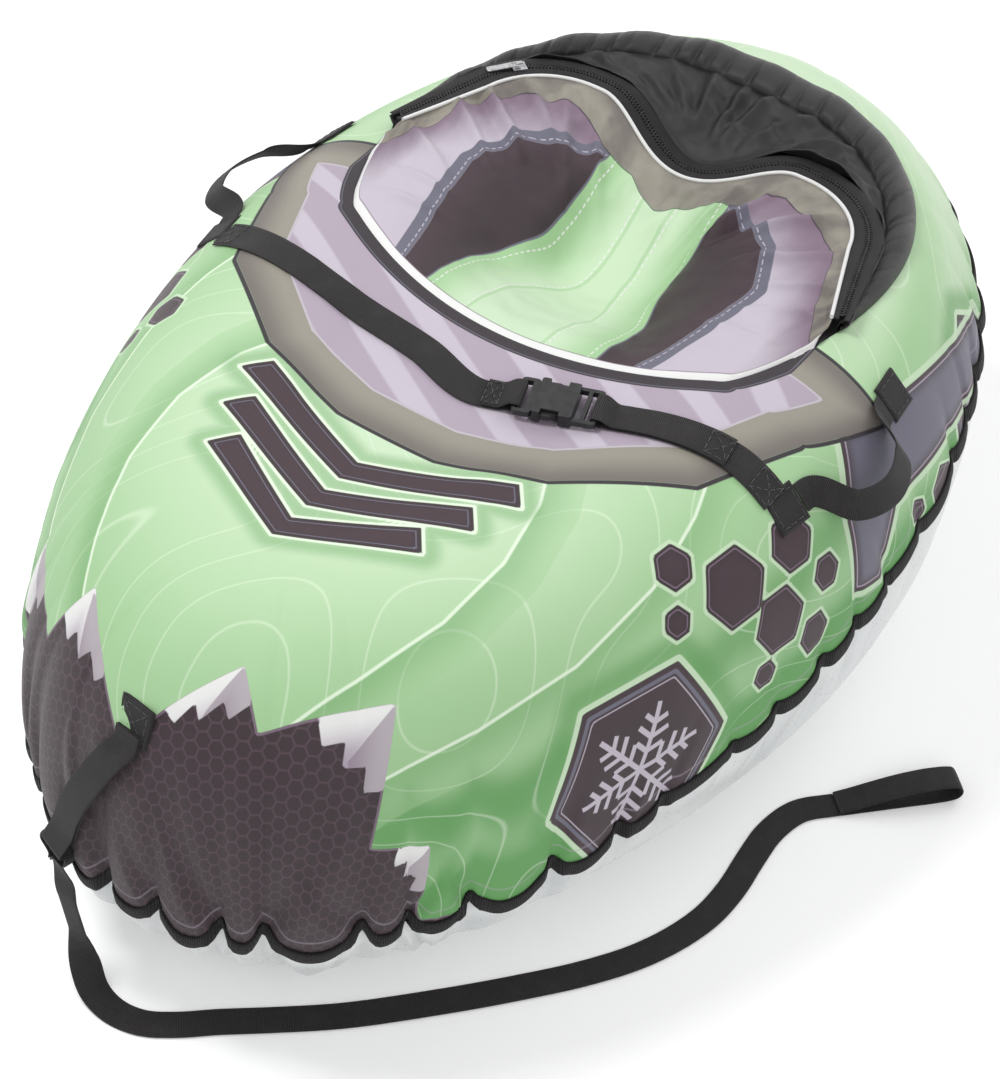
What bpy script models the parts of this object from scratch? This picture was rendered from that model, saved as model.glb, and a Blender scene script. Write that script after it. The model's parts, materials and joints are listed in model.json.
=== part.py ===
"""Snow tube: an oval inflated ring in a sewn cover, with a sagging seat, lap belt, handles and tow strap.

The frame is in metres. +Z is up, the front points to -Y, and the origin is the middle of the flat base.
Angles around the ring start at +X and grow towards +Y, so the front tip is at -90 degrees and the rear
tip at 90. Angles round the ring's section start at the outer side and grow upwards over the crest.
"""

import math

import bmesh
import bpy
from mathutils import Matrix, Vector
from mathutils.bvhtree import BVHTree

# Ring and outline
TUBE_LENGTH = 1.050
RING_HEIGHT = 0.382
RING_WIDTH = 0.310
PATH_HALF_LENGTH = (TUBE_LENGTH - RING_WIDTH) / 2
PATH_HALF_WIDTH = 0.180
HOLE_HALF_WIDTH = 0.022
HOLE_HALF_LENGTH = 0.200
REAR_TAPER_share = 0.16
OUTLINE_ROUNDNESS_share = 1.089
SECTION_ROUNDNESS_share = 0.864

# Layers
COVER_THICKNESS = 0.0020
LAYER_GAP = 0.0003
RUBBER_WALL = 0.0020
DRAPE_LIFT = 0.0036
EDGE_GAP = 0.0006
STEEPEST_share = 0.2

# Seam, rim and seat opening
SEAM_MID_ANGLE = math.radians(3.6)
SEAM_RISE_ANGLE = math.radians(21.4)
RIM_SHOULDER_ANGLE = math.radians(22)
RIM_REAR_ANGLE = math.radians(8)
VEE_ANGLE = math.radians(15)
BAND_FORWARD = 0.055
DECK_SAG = 0.008
BAND_SAG = 0.006
SEAT_DEPTH = 0.060
SEAT_VALLEY_share = 0.58
WELL_SAG = 0.020

# Edge binding
BINDING_HEIGHT = 0.018
BINDING_THICKNESS = 0.004

# Padded rim
RIM_WIDTH = 0.042
RIM_END_WIDTH = 0.007
RIM_PUFF = 0.013
RIM_EDGE_THICKNESS = 0.0025
RIM_FULL_share = 0.7

# Zip
ZIP_RISE = 0.0060
ZIP_HEIGHT = RING_HEIGHT + ZIP_RISE
ZIP_CORNER_RADIUS = 0.090
ZIP_CORNER_X = 0.108
ZIP_BACK_share = 0.7514
ZIP_CORNER_Y = PATH_HALF_LENGTH * ZIP_BACK_share - ZIP_CORNER_RADIUS
ZIP_END_X = 0.222
ZIP_END_BACK_share = 0.3189
ZIP_END_Y = PATH_HALF_LENGTH * ZIP_END_BACK_share
ZIP_STEP_share = 0.002
ZIP_DIP = 0.030
ZIP_DIP_FORWARD = 0.028
ZIP_DIP_HALF_WIDTH = 0.100
ZIP_HALF_WIDTH = 0.0130
ZIP_END_HALF_WIDTH = 0.0070
COIL_WIDTH = 0.0060
COIL_HEIGHT = 0.0024
TAPE_THICKNESS = 0.0010
PIPING_WIDTH = 0.0030
SLIDER_REST_ANGLE = math.radians(140)
SLIDER_LENGTH = 0.0130
SLIDER_WIDTH = 0.0122
SLIDER_WALL = 0.0012
SLIDER_SIDE_CLEARANCE = 0.0014
PULL_LENGTH = 0.0300
PULL_DROOP = math.radians(5)
PULL_WIDTH = 0.0070
PULL_WIRE_share = 0.9
PULL_THICKNESS = 0.0010
BAIL_WIDTH = 0.0030
BAIL_HEIGHT = 0.0042

# Webbing
BELT_WIDTH = 0.030
STRAP_WIDTH = 0.025
WEBBING_THICKNESS = 0.0018
STRAP_LIFT = 0.0010
PATCH_SIZE = 0.034
PATCH_THICKNESS = 0.0026
FOLD_REACH = 0.0016
SEWN_END = 0.026

# The belt halves' routes in plan: shares of the ring path's half width across, and of its half length ahead.
BELT_LEFT_shares = [(-1.444, 0.200), (-1.306, 0.2135), (-0.944, 0.2432), (-0.556, 0.2703), (-0.194, 0.2919)]
BELT_RIGHT_shares = [(1.444, 0.1757), (1.306, 0.1730), (1.111, 0.1892)]

# Buckle
BUCKLE_X = 0.090
BUCKLE_Y = -0.103
BUCKLE_TURN = math.radians(18)
BUCKLE_LIFT = 0.0078
BUCKLE_WIDTH = 0.040
BUCKLE_THICKNESS = 0.0110
SOCKET_LENGTH = 0.0320
SOCKET_WALL = 0.0020
SOCKET_SIDE_WALL = 0.0016
WINDOW_LENGTH = 0.0150
WINDOW_START = 0.0070
BAR_DEPTH = 0.0034
BAR_SLOT = 0.0064
FRAME_SIDE = 0.0036
BUCKLE_FRAME_THICKNESS = 0.0050
PLUG_SHOULDER = 0.0060
TONGUE_WIDTH = 0.0060
TONGUE_THICKNESS = 0.0034
TONGUE_LENGTH = 0.0230
PRONG_WIDTH = 0.0034
PRONG_THICKNESS = 0.0046
PRONG_LENGTH = 0.0235
PRONG_OFFSET = 0.0120
PRONG_HEAD_LENGTH = 0.0105
PLUG_CLEARANCE = 0.0005
PRONG_ROOT_GAP = 0.0004

# Handles
HANDLE_STAND_OFF = 0.028
HANDLE_FIRST_ANGLE = math.radians(17.5)
HANDLE_LAST_ANGLE = math.radians(-8)
HANDLE_PATCH_LEVEL = math.radians(51)
HANDLE_DROP_LEVEL = math.radians(13)

# Tow loop and tow strap
TOW_PATCH_LEVEL = math.radians(33)
TOW_FIRST_LEVEL = math.radians(27)
TOW_LAST_LEVEL = math.radians(-9)
TOW_FIRST_TURN = math.radians(-91)
TOW_LAST_TURN = math.radians(-96.5)
TOW_FIRST_STAND = 0.0040
TOW_LAST_STAND = 0.0170
TOW_STEPS = 7
EYE_RADIUS = 0.0080
EYE_STEP = math.radians(30)
STRAP_EYE_LENGTH = 0.0300
STRAP_EYE_WIDTH = 0.0095
HAND_LOOP_LENGTH = 0.110
HAND_LOOP_OPENING = 0.016

# Valve
VALVE_TURN = math.radians(3.5)
VALVE_LEVEL = math.radians(140)
VALVE_FLANGE_RADIUS = 0.0160
VALVE_FLANGE_THICKNESS = 0.0022
VALVE_STEM_RADIUS = 0.0075
VALVE_STEM_LENGTH = 0.0130
VALVE_BORE_RADIUS = 0.0050
VALVE_CAP_RADIUS = 0.0105
VALVE_CAP_ROOF = 0.0024
VALVE_CAP_OVERLAP = 0.0080
VALVE_CLEARANCE = 0.0003

# Number of segments
FRONT_STEPS = 28
REAR_STEPS = 28
LOW_STEPS = 6
SIDE_STEPS = 6
INNER_STEPS = 8
DECK_STEPS = 6
SEAT_STEPS = 9
WELL_STEPS = 4
RIM_STEPS = 6
CLEAR_SAMPLES = 4
CLEAR_ROUNDS = 5

# The tow strap's route, from the loop's eye down to the snow and along it, in metres.
TOW_ROUTE = [
    (-0.0740, -0.5220, 0.0980),
    (-0.0680, -0.5260, 0.0780),
    (-0.0600, -0.5290, 0.0600),
    (-0.0520, -0.5320, 0.0430),
    (-0.0430, -0.5370, 0.0210),
    (-0.0290, -0.5440, 0.0060),
    (-0.0080, -0.5480, 0.0016),
    (0.0180, -0.5440, 0.0014),
    (0.0420, -0.5290, 0.0014),
    (0.0640, -0.5100, 0.0014),
    (0.1000, -0.4810, 0.0014),
    (0.1380, -0.4490, 0.0014),
    (0.1900, -0.3960, 0.0014),
    (0.2400, -0.3400, 0.0014),
    (0.2780, -0.2930, 0.0014),
    (0.3020, -0.2560, 0.0014),
    (0.3180, -0.2200, 0.0014),
    (0.3270, -0.1860, 0.0014),
    (0.3290, -0.1500, 0.0014),
    (0.3260, -0.1120, 0.0014),
    (0.3250, -0.0760, 0.0014),
    (0.3340, -0.0420, 0.0014),
    (0.3560, -0.0170, 0.0014),
]

# Colours
PRINT_GREEN = (0.42, 0.68, 0.42)
PRINT_LILAC = (0.50, 0.43, 0.50)
BASE_GREY = (0.72, 0.75, 0.76)
WEBBING_BLACK = (0.020, 0.019, 0.020)
OXFORD_BLACK = (0.030, 0.027, 0.029)
PIPING_WHITE = (0.80, 0.80, 0.79)
RUBBER_BLACK = (0.025, 0.025, 0.026)
BUCKLE_BLACK = (0.015, 0.015, 0.016)
BRIGHT_METAL = (0.66, 0.66, 0.68)


def clear_scene():
    for item in list(bpy.data.objects):
        bpy.data.objects.remove(item, do_unlink=True)


def material(name, colour, roughness, metallic=0.0):
    found = bpy.data.materials.get(name)
    if found:
        return found
    made = bpy.data.materials.new(name)
    made.use_nodes = True
    shader = made.node_tree.nodes["Principled BSDF"]
    shader.inputs["Base Color"].default_value = (*colour, 1.0)
    shader.inputs["Roughness"].default_value = roughness
    shader.inputs["Metallic"].default_value = metallic
    made.diffuse_color = (*colour, 1.0)
    return made


def object_from(name, mesh_data, finish, parent=None):
    """Puts a bmesh into the scene as one named object, facing out."""
    bmesh.ops.remove_doubles(mesh_data, verts=mesh_data.verts, dist=LAYER_GAP / 100)
    bmesh.ops.recalc_face_normals(mesh_data, faces=mesh_data.faces)
    bmesh.ops.triangulate(mesh_data, faces=mesh_data.faces, quad_method="SHORT_EDGE", ngon_method="BEAUTY")
    mesh = bpy.data.meshes.new(name)
    mesh_data.to_mesh(mesh)
    mesh_data.free()
    mesh.shade_smooth()
    mesh.set_sharp_from_angle(angle=math.radians(35))
    mesh.materials.append(finish)
    made = bpy.data.objects.new(name, mesh)
    bpy.context.scene.collection.objects.link(made)
    made.parent = parent
    return made


def empty_at(name, place):
    made = bpy.data.objects.new(name, None)
    made.matrix_world = place
    bpy.context.scene.collection.objects.link(made)
    return made


def signed_power(value, power):
    return math.copysign(abs(value) ** power, value)


# The ring


def path_point(turn):
    """The ring's centre line in plan."""
    across = signed_power(math.cos(turn), OUTLINE_ROUNDNESS_share)
    along = signed_power(math.sin(turn), OUTLINE_ROUNDNESS_share)
    x = PATH_HALF_WIDTH * across * (1 + REAR_TAPER_share * along)
    return Vector((x, PATH_HALF_LENGTH * along, 0))


def path_normal(turn):
    """The outward direction, square to the centre line in plan."""
    step = math.radians(0.01)
    way = path_point(turn + step) - path_point(turn - step)
    return Vector((way.y, -way.x, 0)).normalized()


def seam_level(turn):
    return SEAM_MID_ANGLE + SEAM_RISE_ANGLE * math.sin(turn)


def top_level(turn):
    """Where the printed cover ends on the ring: at the crest in front, and outside it round the rim."""
    if math.sin(turn) <= 0:
        return math.pi / 2
    shoulder = RIM_SHOULDER_ANGLE * abs(math.sin(2 * turn)) ** (1 + math.sin(turn) ** 2)
    return math.pi / 2 - shoulder - RIM_REAR_ANGLE * math.sin(turn) ** 2


def hole_point(turn):
    """The outline of the ring's narrow hole in plan."""
    return Vector((HOLE_HALF_WIDTH * math.cos(turn), HOLE_HALF_LENGTH * math.sin(turn), 0))


def ring_point(turn, level, inset=0.0):
    """A point on the ring's skin, or that far under it. Past the crest it runs in towards the hole."""
    across = abs(math.cos(level)) ** SECTION_ROUNDNESS_share
    upward = signed_power(math.sin(level), SECTION_ROUNDNESS_share)
    place = path_point(turn)
    if math.cos(level) >= 0:
        place += path_normal(turn) * (RING_WIDTH / 2 - inset) * across
    else:
        inwards = hole_point(turn) - place
        place += inwards.normalized() * (inwards.length - inset) * across
    place.z = RING_HEIGHT / 2 + (RING_HEIGHT / 2 - inset) * upward
    return place


def stations():
    """Angles round the ring. The seat opening's two ends each lie between two of them."""
    rear_step = (math.pi - 2 * VEE_ANGLE) / (REAR_STEPS + 2)
    rear = [VEE_ANGLE + rear_step * i for i in range(REAR_STEPS + 2)]
    front_step = (math.pi + 2 * VEE_ANGLE) / FRONT_STEPS
    front = [math.pi - VEE_ANGLE + front_step * i for i in range(FRONT_STEPS)]
    return rear + front


def band_stations():
    """Along the seat opening's front edge, from right to left."""
    step = (math.pi + 2 * VEE_ANGLE) / FRONT_STEPS
    return [VEE_ANGLE - step * i for i in range(FRONT_STEPS + 1)]


def rim_stations():
    """Along the seat opening's rear edge, from right to left."""
    step = (math.pi - 2 * VEE_ANGLE) / (REAR_STEPS + 2)
    return [VEE_ANGLE + step * (i + 1) for i in range(REAR_STEPS + 1)]


# Skins that other pieces rest on


def skin_tree(names):
    points, faces = [], []
    for name in names:
        mesh = bpy.data.objects[name].data
        start = len(points)
        points += [v.co.copy() for v in mesh.vertices]
        faces += [[start + i for i in p.vertices] for p in mesh.polygons]
    return BVHTree.FromPolygons(points, faces)


def skin_height(tree, x, y):
    """Height of the uppermost skin over a place, or zero where there is none."""
    hit = tree.ray_cast(Vector((x, y, RING_HEIGHT * 2)), Vector((0, 0, -1)))
    return hit[0].z if hit[0] else 0.0


def height_over(tree, x, y, clearance):
    """Height at which a point is that far off the skin, square to it."""
    hit = tree.ray_cast(Vector((x, y, RING_HEIGHT * 2)), Vector((0, 0, -1)))
    return hit[0].z + clearance / max(hit[1].z, STEEPEST_share) if hit[0] else 0.0


def clear_sheet(grid, tree, clearance, pinned=False):
    """Raises a sheet until it clears the skin everywhere. A pinned one keeps its edges."""
    for row in grid:
        for place in row[1:-1] if pinned else row:
            place.z = max(place.z, height_over(tree, place.x, place.y, clearance))
    shares = [i / CLEAR_SAMPLES for i in range(CLEAR_SAMPLES + 1)]
    for _ in range(CLEAR_ROUNDS):
        for r0, r1 in zip(grid, grid[1:]):
            for j in range(len(r0) - 1):
                free_near = not (pinned and j == 0)
                free_far = not (pinned and j + 2 == len(r0))
                for u in shares:
                    for v in shares:
                        raise_cell(tree, clearance, r0, r1, j, u, v, free_near, free_far)


def raise_cell(tree, clearance, r0, r1, j, u, v, free_near, free_far):
    """Raises the corners of one cell, each by its share, where the cell is too low at one spot."""
    place = r0[j].lerp(r1[j], u).lerp(r0[j + 1].lerp(r1[j + 1], u), v)
    need = height_over(tree, place.x, place.y, clearance) - place.z
    if need <= 0:
        return
    near, far = (1 - v) * free_near, v * free_far
    shares = [(1 - u) * near, u * near, (1 - u) * far, u * far]
    total = sum(share * share for share in shares)
    if total < 1 / 8:
        return
    for corner, share in zip((r0[j], r1[j], r0[j + 1], r1[j + 1]), shares):
        corner.z += need * share / total


def seat_on(tree, turn, level):
    """Frame on the nearest flat of a skin: Z out of it, X along the ring."""
    aim = path_point(turn)
    aim.z = RING_HEIGHT / 2
    out = (ring_point(turn, level) - aim).normalized()
    hit, normal, _, _ = tree.ray_cast(aim + out * RING_WIDTH * 2, -out)
    along = Vector((-path_normal(turn).y, path_normal(turn).x, 0))
    along = (along - normal * along.dot(normal)).normalized()
    frame = Matrix((along, normal.cross(along), normal)).transposed().to_4x4()
    return Matrix.Translation(hit + normal * LAYER_GAP) @ frame


# Solids from grids


def close_grid(outer, inner, round_trip):
    """One closed body between two grids of points, outer and inner, with a strip along every edge."""
    made = bmesh.new()
    rows, columns = len(outer), len(outer[0])
    over = [[made.verts.new(p) for p in row] for row in outer]
    under = [[made.verts.new(p) for p in row] for row in inner]
    row_count = rows if round_trip else rows - 1
    for i in range(row_count):
        k = (i + 1) % rows
        for j in range(columns - 1):
            made.faces.new((over[i][j], over[k][j], over[k][j + 1], over[i][j + 1]))
            made.faces.new((under[i][j], under[i][j + 1], under[k][j + 1], under[k][j]))
        for j in (0, columns - 1):
            made.faces.new((over[i][j], over[k][j], under[k][j], under[i][j]))
    if not round_trip:
        for i in (0, rows - 1):
            for j in range(columns - 1):
                made.faces.new((over[i][j], over[i][j + 1], under[i][j + 1], under[i][j]))
    return made


def ribbon(centres, sides, width, thickness):
    """A flat strap along its centres, with its width along the given sides."""
    upper, lower = [], []
    for i, place in enumerate(centres):
        before = centres[max(i - 1, 0)]
        after = centres[min(i + 1, len(centres) - 1)]
        way = (after - before).normalized()
        side = (sides[i] - way * sides[i].dot(way)).normalized()
        face = side.cross(way).normalized()
        edge = side * width / 2
        skin = face * thickness / 2
        upper.append([place - edge + skin, place + edge + skin])
        lower.append([place - edge - skin, place + edge - skin])
    return close_grid(upper, lower, False)


def knots_of(points):
    """Running length along a chain of points."""
    found = [0.0]
    for a, b in zip(points, points[1:]):
        found.append(found[-1] + (b - a).length)
    return found


def smooth_points(points, between, knots=None):
    """A smooth curve through the points, with some extra ones between each two."""
    knots = knots or knots_of(points)
    slopes = []
    for i in range(len(points)):
        before, after = max(i - 1, 0), min(i + 1, len(points) - 1)
        slopes.append((points[after] - points[before]) / (knots[after] - knots[before]))
        if before < i < after:
            h0, h1 = knots[i] - knots[before], knots[after] - knots[i]
            first = (points[i] - points[before]) / h0
            second = (points[after] - points[i]) / h1
            slopes[i] = (first * h1 + second * h0) / (h0 + h1)
    found = []
    for i in range(len(points) - 1):
        h = knots[i + 1] - knots[i]
        for k in range(between):
            s = k / between
            near = points[i] * (1 + 2 * s) * (1 - s) ** 2 + slopes[i] * h * s * (1 - s) ** 2
            far = points[i + 1] * s * s * (3 - 2 * s) - slopes[i + 1] * h * s * s * (1 - s)
            found.append(near + far)
    found.append(points[-1])
    return found


# Inner tube and valve


def inner_levels(turn):
    """Section angles from the bottom, up the outer side to the seam and crest, and down the inner side."""
    seam, top = seam_level(turn), top_level(turn)
    low = [-math.pi / 2 + (seam + math.pi / 2) * j / LOW_STEPS for j in range(LOW_STEPS)]
    side = [seam + (top - seam) * j / SIDE_STEPS for j in range(SIDE_STEPS)]
    inner = [top + (math.pi * 3 / 2 - top) * (j / INNER_STEPS) ** 1.25 for j in range(INNER_STEPS)]
    return low + side + inner


def tube_skin(inset):
    return [[ring_point(t, level, inset) for level in inner_levels(t)] for t in stations()]


def turned(profile, place, sides=20):
    """A turned solid from (radius, height) pairs, round the Z of the given frame."""
    made = bmesh.new()
    rings = []
    for radius, height in profile:
        ring = []
        for i in range(sides):
            angle = 2 * math.pi * i / sides
            spot = Vector((radius * math.cos(angle), radius * math.sin(angle), height))
            ring.append(made.verts.new(place @ spot))
        rings.append(ring)
    for k in range(len(rings)):
        first, second = rings[k], rings[(k + 1) % len(rings)]
        for i in range(sides):
            j = (i + 1) % sides
            made.faces.new((first[i], first[j], second[j], second[i]))
    return made


def capped(profile, place, sides=20):
    """A turned solid whose first and last rings are closed by flat faces."""
    made = bmesh.new()
    rings = []
    for radius, height in profile:
        ring = []
        for i in range(sides):
            angle = 2 * math.pi * i / sides
            spot = Vector((radius * math.cos(angle), radius * math.sin(angle), height))
            ring.append(made.verts.new(place @ spot))
        rings.append(ring)
    for first, second in zip(rings, rings[1:]):
        for i in range(sides):
            j = (i + 1) % sides
            made.faces.new((first[i], first[j], second[j], second[i]))
    made.faces.new(list(reversed(rings[0])))
    made.faces.new(rings[-1])
    return made


def cup(outside, pocket, sides=20):
    """A turned cup: its outside ends in a flat roof and its pocket in a flat bottom."""
    made = bmesh.new()
    rings = []
    for radius, height in outside[::-1] + pocket[::-1][1:]:
        ring = []
        for i in range(sides):
            angle = 2 * math.pi * i / sides
            ring.append(made.verts.new((radius * math.cos(angle), radius * math.sin(angle), height)))
        rings.append(ring)
    for first, second in zip(rings, rings[1:]):
        for i in range(sides):
            j = (i + 1) % sides
            made.faces.new((first[i], first[j], second[j], second[i]))
    made.faces.new(rings[0])
    made.faces.new(rings[-1])
    return made


def cutter_from(name, mesh_data):
    made = object_from(name, mesh_data, material("guide", PIPING_WHITE, 0.5))
    made.hide_render = True
    made.display_type = "WIRE"
    return made


def cut(target, cutter):
    boolean = target.modifiers.new("cut_" + cutter.name, "BOOLEAN")
    boolean.operation = "DIFFERENCE"
    boolean.object = cutter


def inner_tube():
    inset = COVER_THICKNESS + LAYER_GAP
    skin = tube_skin(inset)
    hollow = tube_skin(inset + RUBBER_WALL)
    made = bmesh.new()
    for grid, outwards in ((skin, True), (hollow, False)):
        verts = [[made.verts.new(p) for p in row] for row in grid]
        rows, columns = len(verts), len(verts[0])
        for i in range(rows):
            k = (i + 1) % rows
            for j in range(columns):
                m = (j + 1) % columns
                face = (verts[i][j], verts[k][j], verts[k][m], verts[i][m])
                made.faces.new(face if outwards else tuple(reversed(face)))
    bmesh.ops.triangulate(made, faces=made.faces, quad_method="SHORT_EDGE", ngon_method="BEAUTY")
    mesh = bpy.data.meshes.new("inner_tube")
    made.to_mesh(mesh)
    made.free()
    mesh.shade_smooth()
    mesh.materials.append(material("tube_rubber", RUBBER_BLACK, 0.55))
    tube = bpy.data.objects.new("inner_tube", mesh)
    bpy.context.scene.collection.objects.link(tube)
    tree = skin_tree(["inner_tube"])
    reach = RUBBER_WALL * 4
    place = seat_on(tree, VALVE_TURN, VALVE_LEVEL)
    hole = capped([(VALVE_BORE_RADIUS, -reach), (VALVE_BORE_RADIUS, reach)], place)
    cut(tube, cutter_from("valve_hole_cutter", hole))
    valve(place)
    return tree


def valve(place):
    """A low screw valve on the tube's inner side, reached through the zip."""
    neck = VALVE_FLANGE_THICKNESS
    stem = [
        (VALVE_BORE_RADIUS, 0),
        (VALVE_FLANGE_RADIUS, 0),
        (VALVE_FLANGE_RADIUS, neck / 2),
        (VALVE_STEM_RADIUS + neck / 2, neck),
        (VALVE_STEM_RADIUS, neck * 1.5),
        (VALVE_STEM_RADIUS, VALVE_STEM_LENGTH),
        (VALVE_BORE_RADIUS, VALVE_STEM_LENGTH),
    ]
    object_from("valve_stem", turned(stem, place), material("valve_rubber", RUBBER_BLACK, 0.5))
    start = VALVE_STEM_LENGTH - VALVE_CAP_OVERLAP
    inside = VALVE_STEM_RADIUS + VALVE_CLEARANCE
    roof = VALVE_STEM_LENGTH + VALVE_CLEARANCE
    end = roof + VALVE_CAP_ROOF
    chamfer = VALVE_CAP_ROOF / 3
    profile = [
        (inside, start),
        (VALVE_CAP_RADIUS, start),
        (VALVE_CAP_RADIUS, end - chamfer),
        (VALVE_CAP_RADIUS - chamfer, end),
    ]
    pocket = [(inside, roof), (inside, start)]
    axis = empty_at("valve_cap_axis", place)
    shell = cup(profile, pocket)
    object_from("valve_cap", shell, material("cap_plastic", BUCKLE_BLACK, 0.4), axis)


# Covers


def band_edge_y(x):
    """The stripe line where the deck ends and the seat begins."""
    share = x / PATH_HALF_WIDTH
    return -BAND_FORWARD * (1 - share * share)


def deck_point(turn, along):
    """A point of the deck over a crest station: along is 0 at the crest and 1 at the stripe line."""
    start = ring_point(turn, math.pi / 2)
    x = start.x
    y = start.y + (band_edge_y(x) - start.y) * along
    middle = 1 - min(1.0, (x / PATH_HALF_WIDTH) ** 2)
    dish = DECK_SAG * (1 - math.cos(2 * math.pi * along)) / 2
    edge = BAND_SAG * along * along * (3 - 2 * along)
    return Vector((x, y, RING_HEIGHT - middle * (dish + edge)))


def deck_stations():
    return [turn for turn in stations() if math.sin(turn) < -LAYER_GAP]


def deck_grid(tube):
    """Points of the deck, from the crest of the ring in front back to the stripe line."""
    grid = []
    for turn in deck_stations():
        grid.append([deck_point(turn, j / DECK_STEPS) for j in range(DECK_STEPS + 1)])
    clear_sheet([row[1:] for row in grid], tube, COVER_THICKNESS + LAYER_GAP * 3)
    return {turn: row for turn, row in zip(deck_stations(), grid)}


def top_cover(deck):
    """The printed cover: up the outer side all round, and over the hole in front."""
    made = bmesh.new()
    first = EDGE_GAP / 2 / (RING_HEIGHT / 2)
    drop = Vector((0, 0, COVER_THICKNESS))
    grids = []
    for under in (False, True):
        grid = []
        for turn in stations():
            seam, top = seam_level(turn), top_level(turn)
            row = []
            for j in range(SIDE_STEPS + 1):
                level = seam + (top - seam) * j / SIDE_STEPS + (first if j == 0 else 0)
                row.append(made.verts.new(ring_point(turn, level, COVER_THICKNESS if under else 0.0)))
            for place in deck[turn][1:] if turn in deck else [None] * DECK_STEPS:
                row.append(made.verts.new(place - drop if under else place) if place else row[-1])
            grid.append(row)
        grids.append(grid)
    over, under = grids
    rows, columns = len(over), len(over[0])

    def face(*corners):
        kept = [c for n, c in enumerate(corners) if c is not corners[n - 1]]
        if len(kept) > 2:
            made.faces.new(kept)

    for i in range(rows):
        k = (i + 1) % rows
        for j in range(columns - 1):
            face(over[i][j], over[k][j], over[k][j + 1], over[i][j + 1])
            face(under[i][j], under[i][j + 1], under[k][j + 1], under[k][j])
        for j in (0, columns - 1):
            face(over[i][j], over[k][j], under[k][j], under[i][j])
    return object_from("top_cover", made, material("printed_fabric", PRINT_GREEN, 0.6))


def base_cover():
    """The slippery base: down the outer side from the seam, and flat across the bottom."""
    made = bmesh.new()
    grids = []
    step = EDGE_GAP / 2 / (RING_HEIGHT / 2)
    for inset in (0.0, COVER_THICKNESS):
        grid = []
        for turn in stations():
            seam = seam_level(turn)
            levels = [-math.pi / 2 + (seam + math.pi / 2) * j / LOW_STEPS for j in range(LOW_STEPS + 1)]
            levels[-1] -= step
            grid.append([made.verts.new(ring_point(turn, level, inset)) for level in levels])
        grids.append(grid)
    over, under = grids
    rows = len(over)
    for i in range(rows):
        k = (i + 1) % rows
        for j in range(LOW_STEPS):
            made.faces.new((over[i][j], over[k][j], over[k][j + 1], over[i][j + 1]))
            made.faces.new((under[i][j], under[i][j + 1], under[k][j + 1], under[k][j]))
        made.faces.new((over[i][-1], over[k][-1], under[k][-1], under[i][-1]))
    made.faces.new([row[0] for row in over])
    made.faces.new([row[0] for row in under])
    return object_from("base_cover", made, material("base_sheet", BASE_GREY, 0.35))


def edge_binding():
    """The black band round the joint of the two covers."""
    outer, inner = [], []
    reach = BINDING_HEIGHT / 2 / (RING_HEIGHT / 2)
    for turn in stations():
        seam = seam_level(turn)
        levels = [seam - reach, seam, seam + reach]
        inner.append([ring_point(turn, level, -LAYER_GAP) for level in levels])
        bulge = [BINDING_THICKNESS / 2, BINDING_THICKNESS, BINDING_THICKNESS / 2]
        outer.append([ring_point(turn, level, -LAYER_GAP - b) for level, b in zip(levels, bulge)])
    finish = material("binding", WEBBING_BLACK, 0.8)
    return object_from("edge_binding", close_grid(outer, inner, True), finish)


# Seat opening: each column crosses it from the stripe line to the rear rim


def plan(point):
    return Vector((point.x, point.y, 0))


def zip_dip(x):
    """Share of the zip's sag at a place across, from 1 in the middle to 0."""
    if abs(x) >= ZIP_DIP_HALF_WIDTH:
        return 0.0
    return (1 + math.cos(math.pi * x / ZIP_DIP_HALF_WIDTH)) / 2


def zip_tangent_angle():
    """Where the straight run from the opening's corner meets the zip's corner arc."""
    dx = ZIP_END_X - ZIP_CORNER_X
    dy = ZIP_END_Y - ZIP_CORNER_Y
    return math.atan2(dy, dx) + math.acos(ZIP_CORNER_RADIUS / math.hypot(dx, dy))


def zip_point(share):
    """A point on the zip in plan, share 0 at the right end and 1 at the left."""
    mirrored = share > 0.5
    reach = 1 - share if mirrored else share
    start = zip_tangent_angle()
    touch_x = ZIP_CORNER_X + ZIP_CORNER_RADIUS * math.cos(start)
    touch_y = ZIP_CORNER_Y + ZIP_CORNER_RADIUS * math.sin(start)
    run = math.hypot(ZIP_END_X - touch_x, ZIP_END_Y - touch_y)
    arc = ZIP_CORNER_RADIUS * (math.pi / 2 - start)
    length = (run + arc + ZIP_CORNER_X) * reach * 2
    if length < run:
        s = length / run
        x = ZIP_END_X + (touch_x - ZIP_END_X) * s
        y = ZIP_END_Y + (touch_y - ZIP_END_Y) * s
    elif length < run + arc:
        angle = start + (length - run) / ZIP_CORNER_RADIUS
        x = ZIP_CORNER_X + ZIP_CORNER_RADIUS * math.cos(angle)
        y = ZIP_CORNER_Y + ZIP_CORNER_RADIUS * math.sin(angle)
    else:
        x = ZIP_CORNER_X - (length - run - arc)
        y = ZIP_CORNER_Y + ZIP_CORNER_RADIUS
    y -= ZIP_DIP_FORWARD * zip_dip(x)
    return Vector((-x if mirrored else x, y, 0))


def rear_slope_height(y):
    """Height of the ring's rear inner slope on the middle line."""
    across = (PATH_HALF_LENGTH - y) / (PATH_HALF_LENGTH - HOLE_HALF_LENGTH)
    level = math.acos(min(1.0, across) ** (1 / SECTION_ROUNDNESS_share))
    return RING_HEIGHT / 2 * (1 + math.sin(level) ** SECTION_ROUNDNESS_share)


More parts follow.
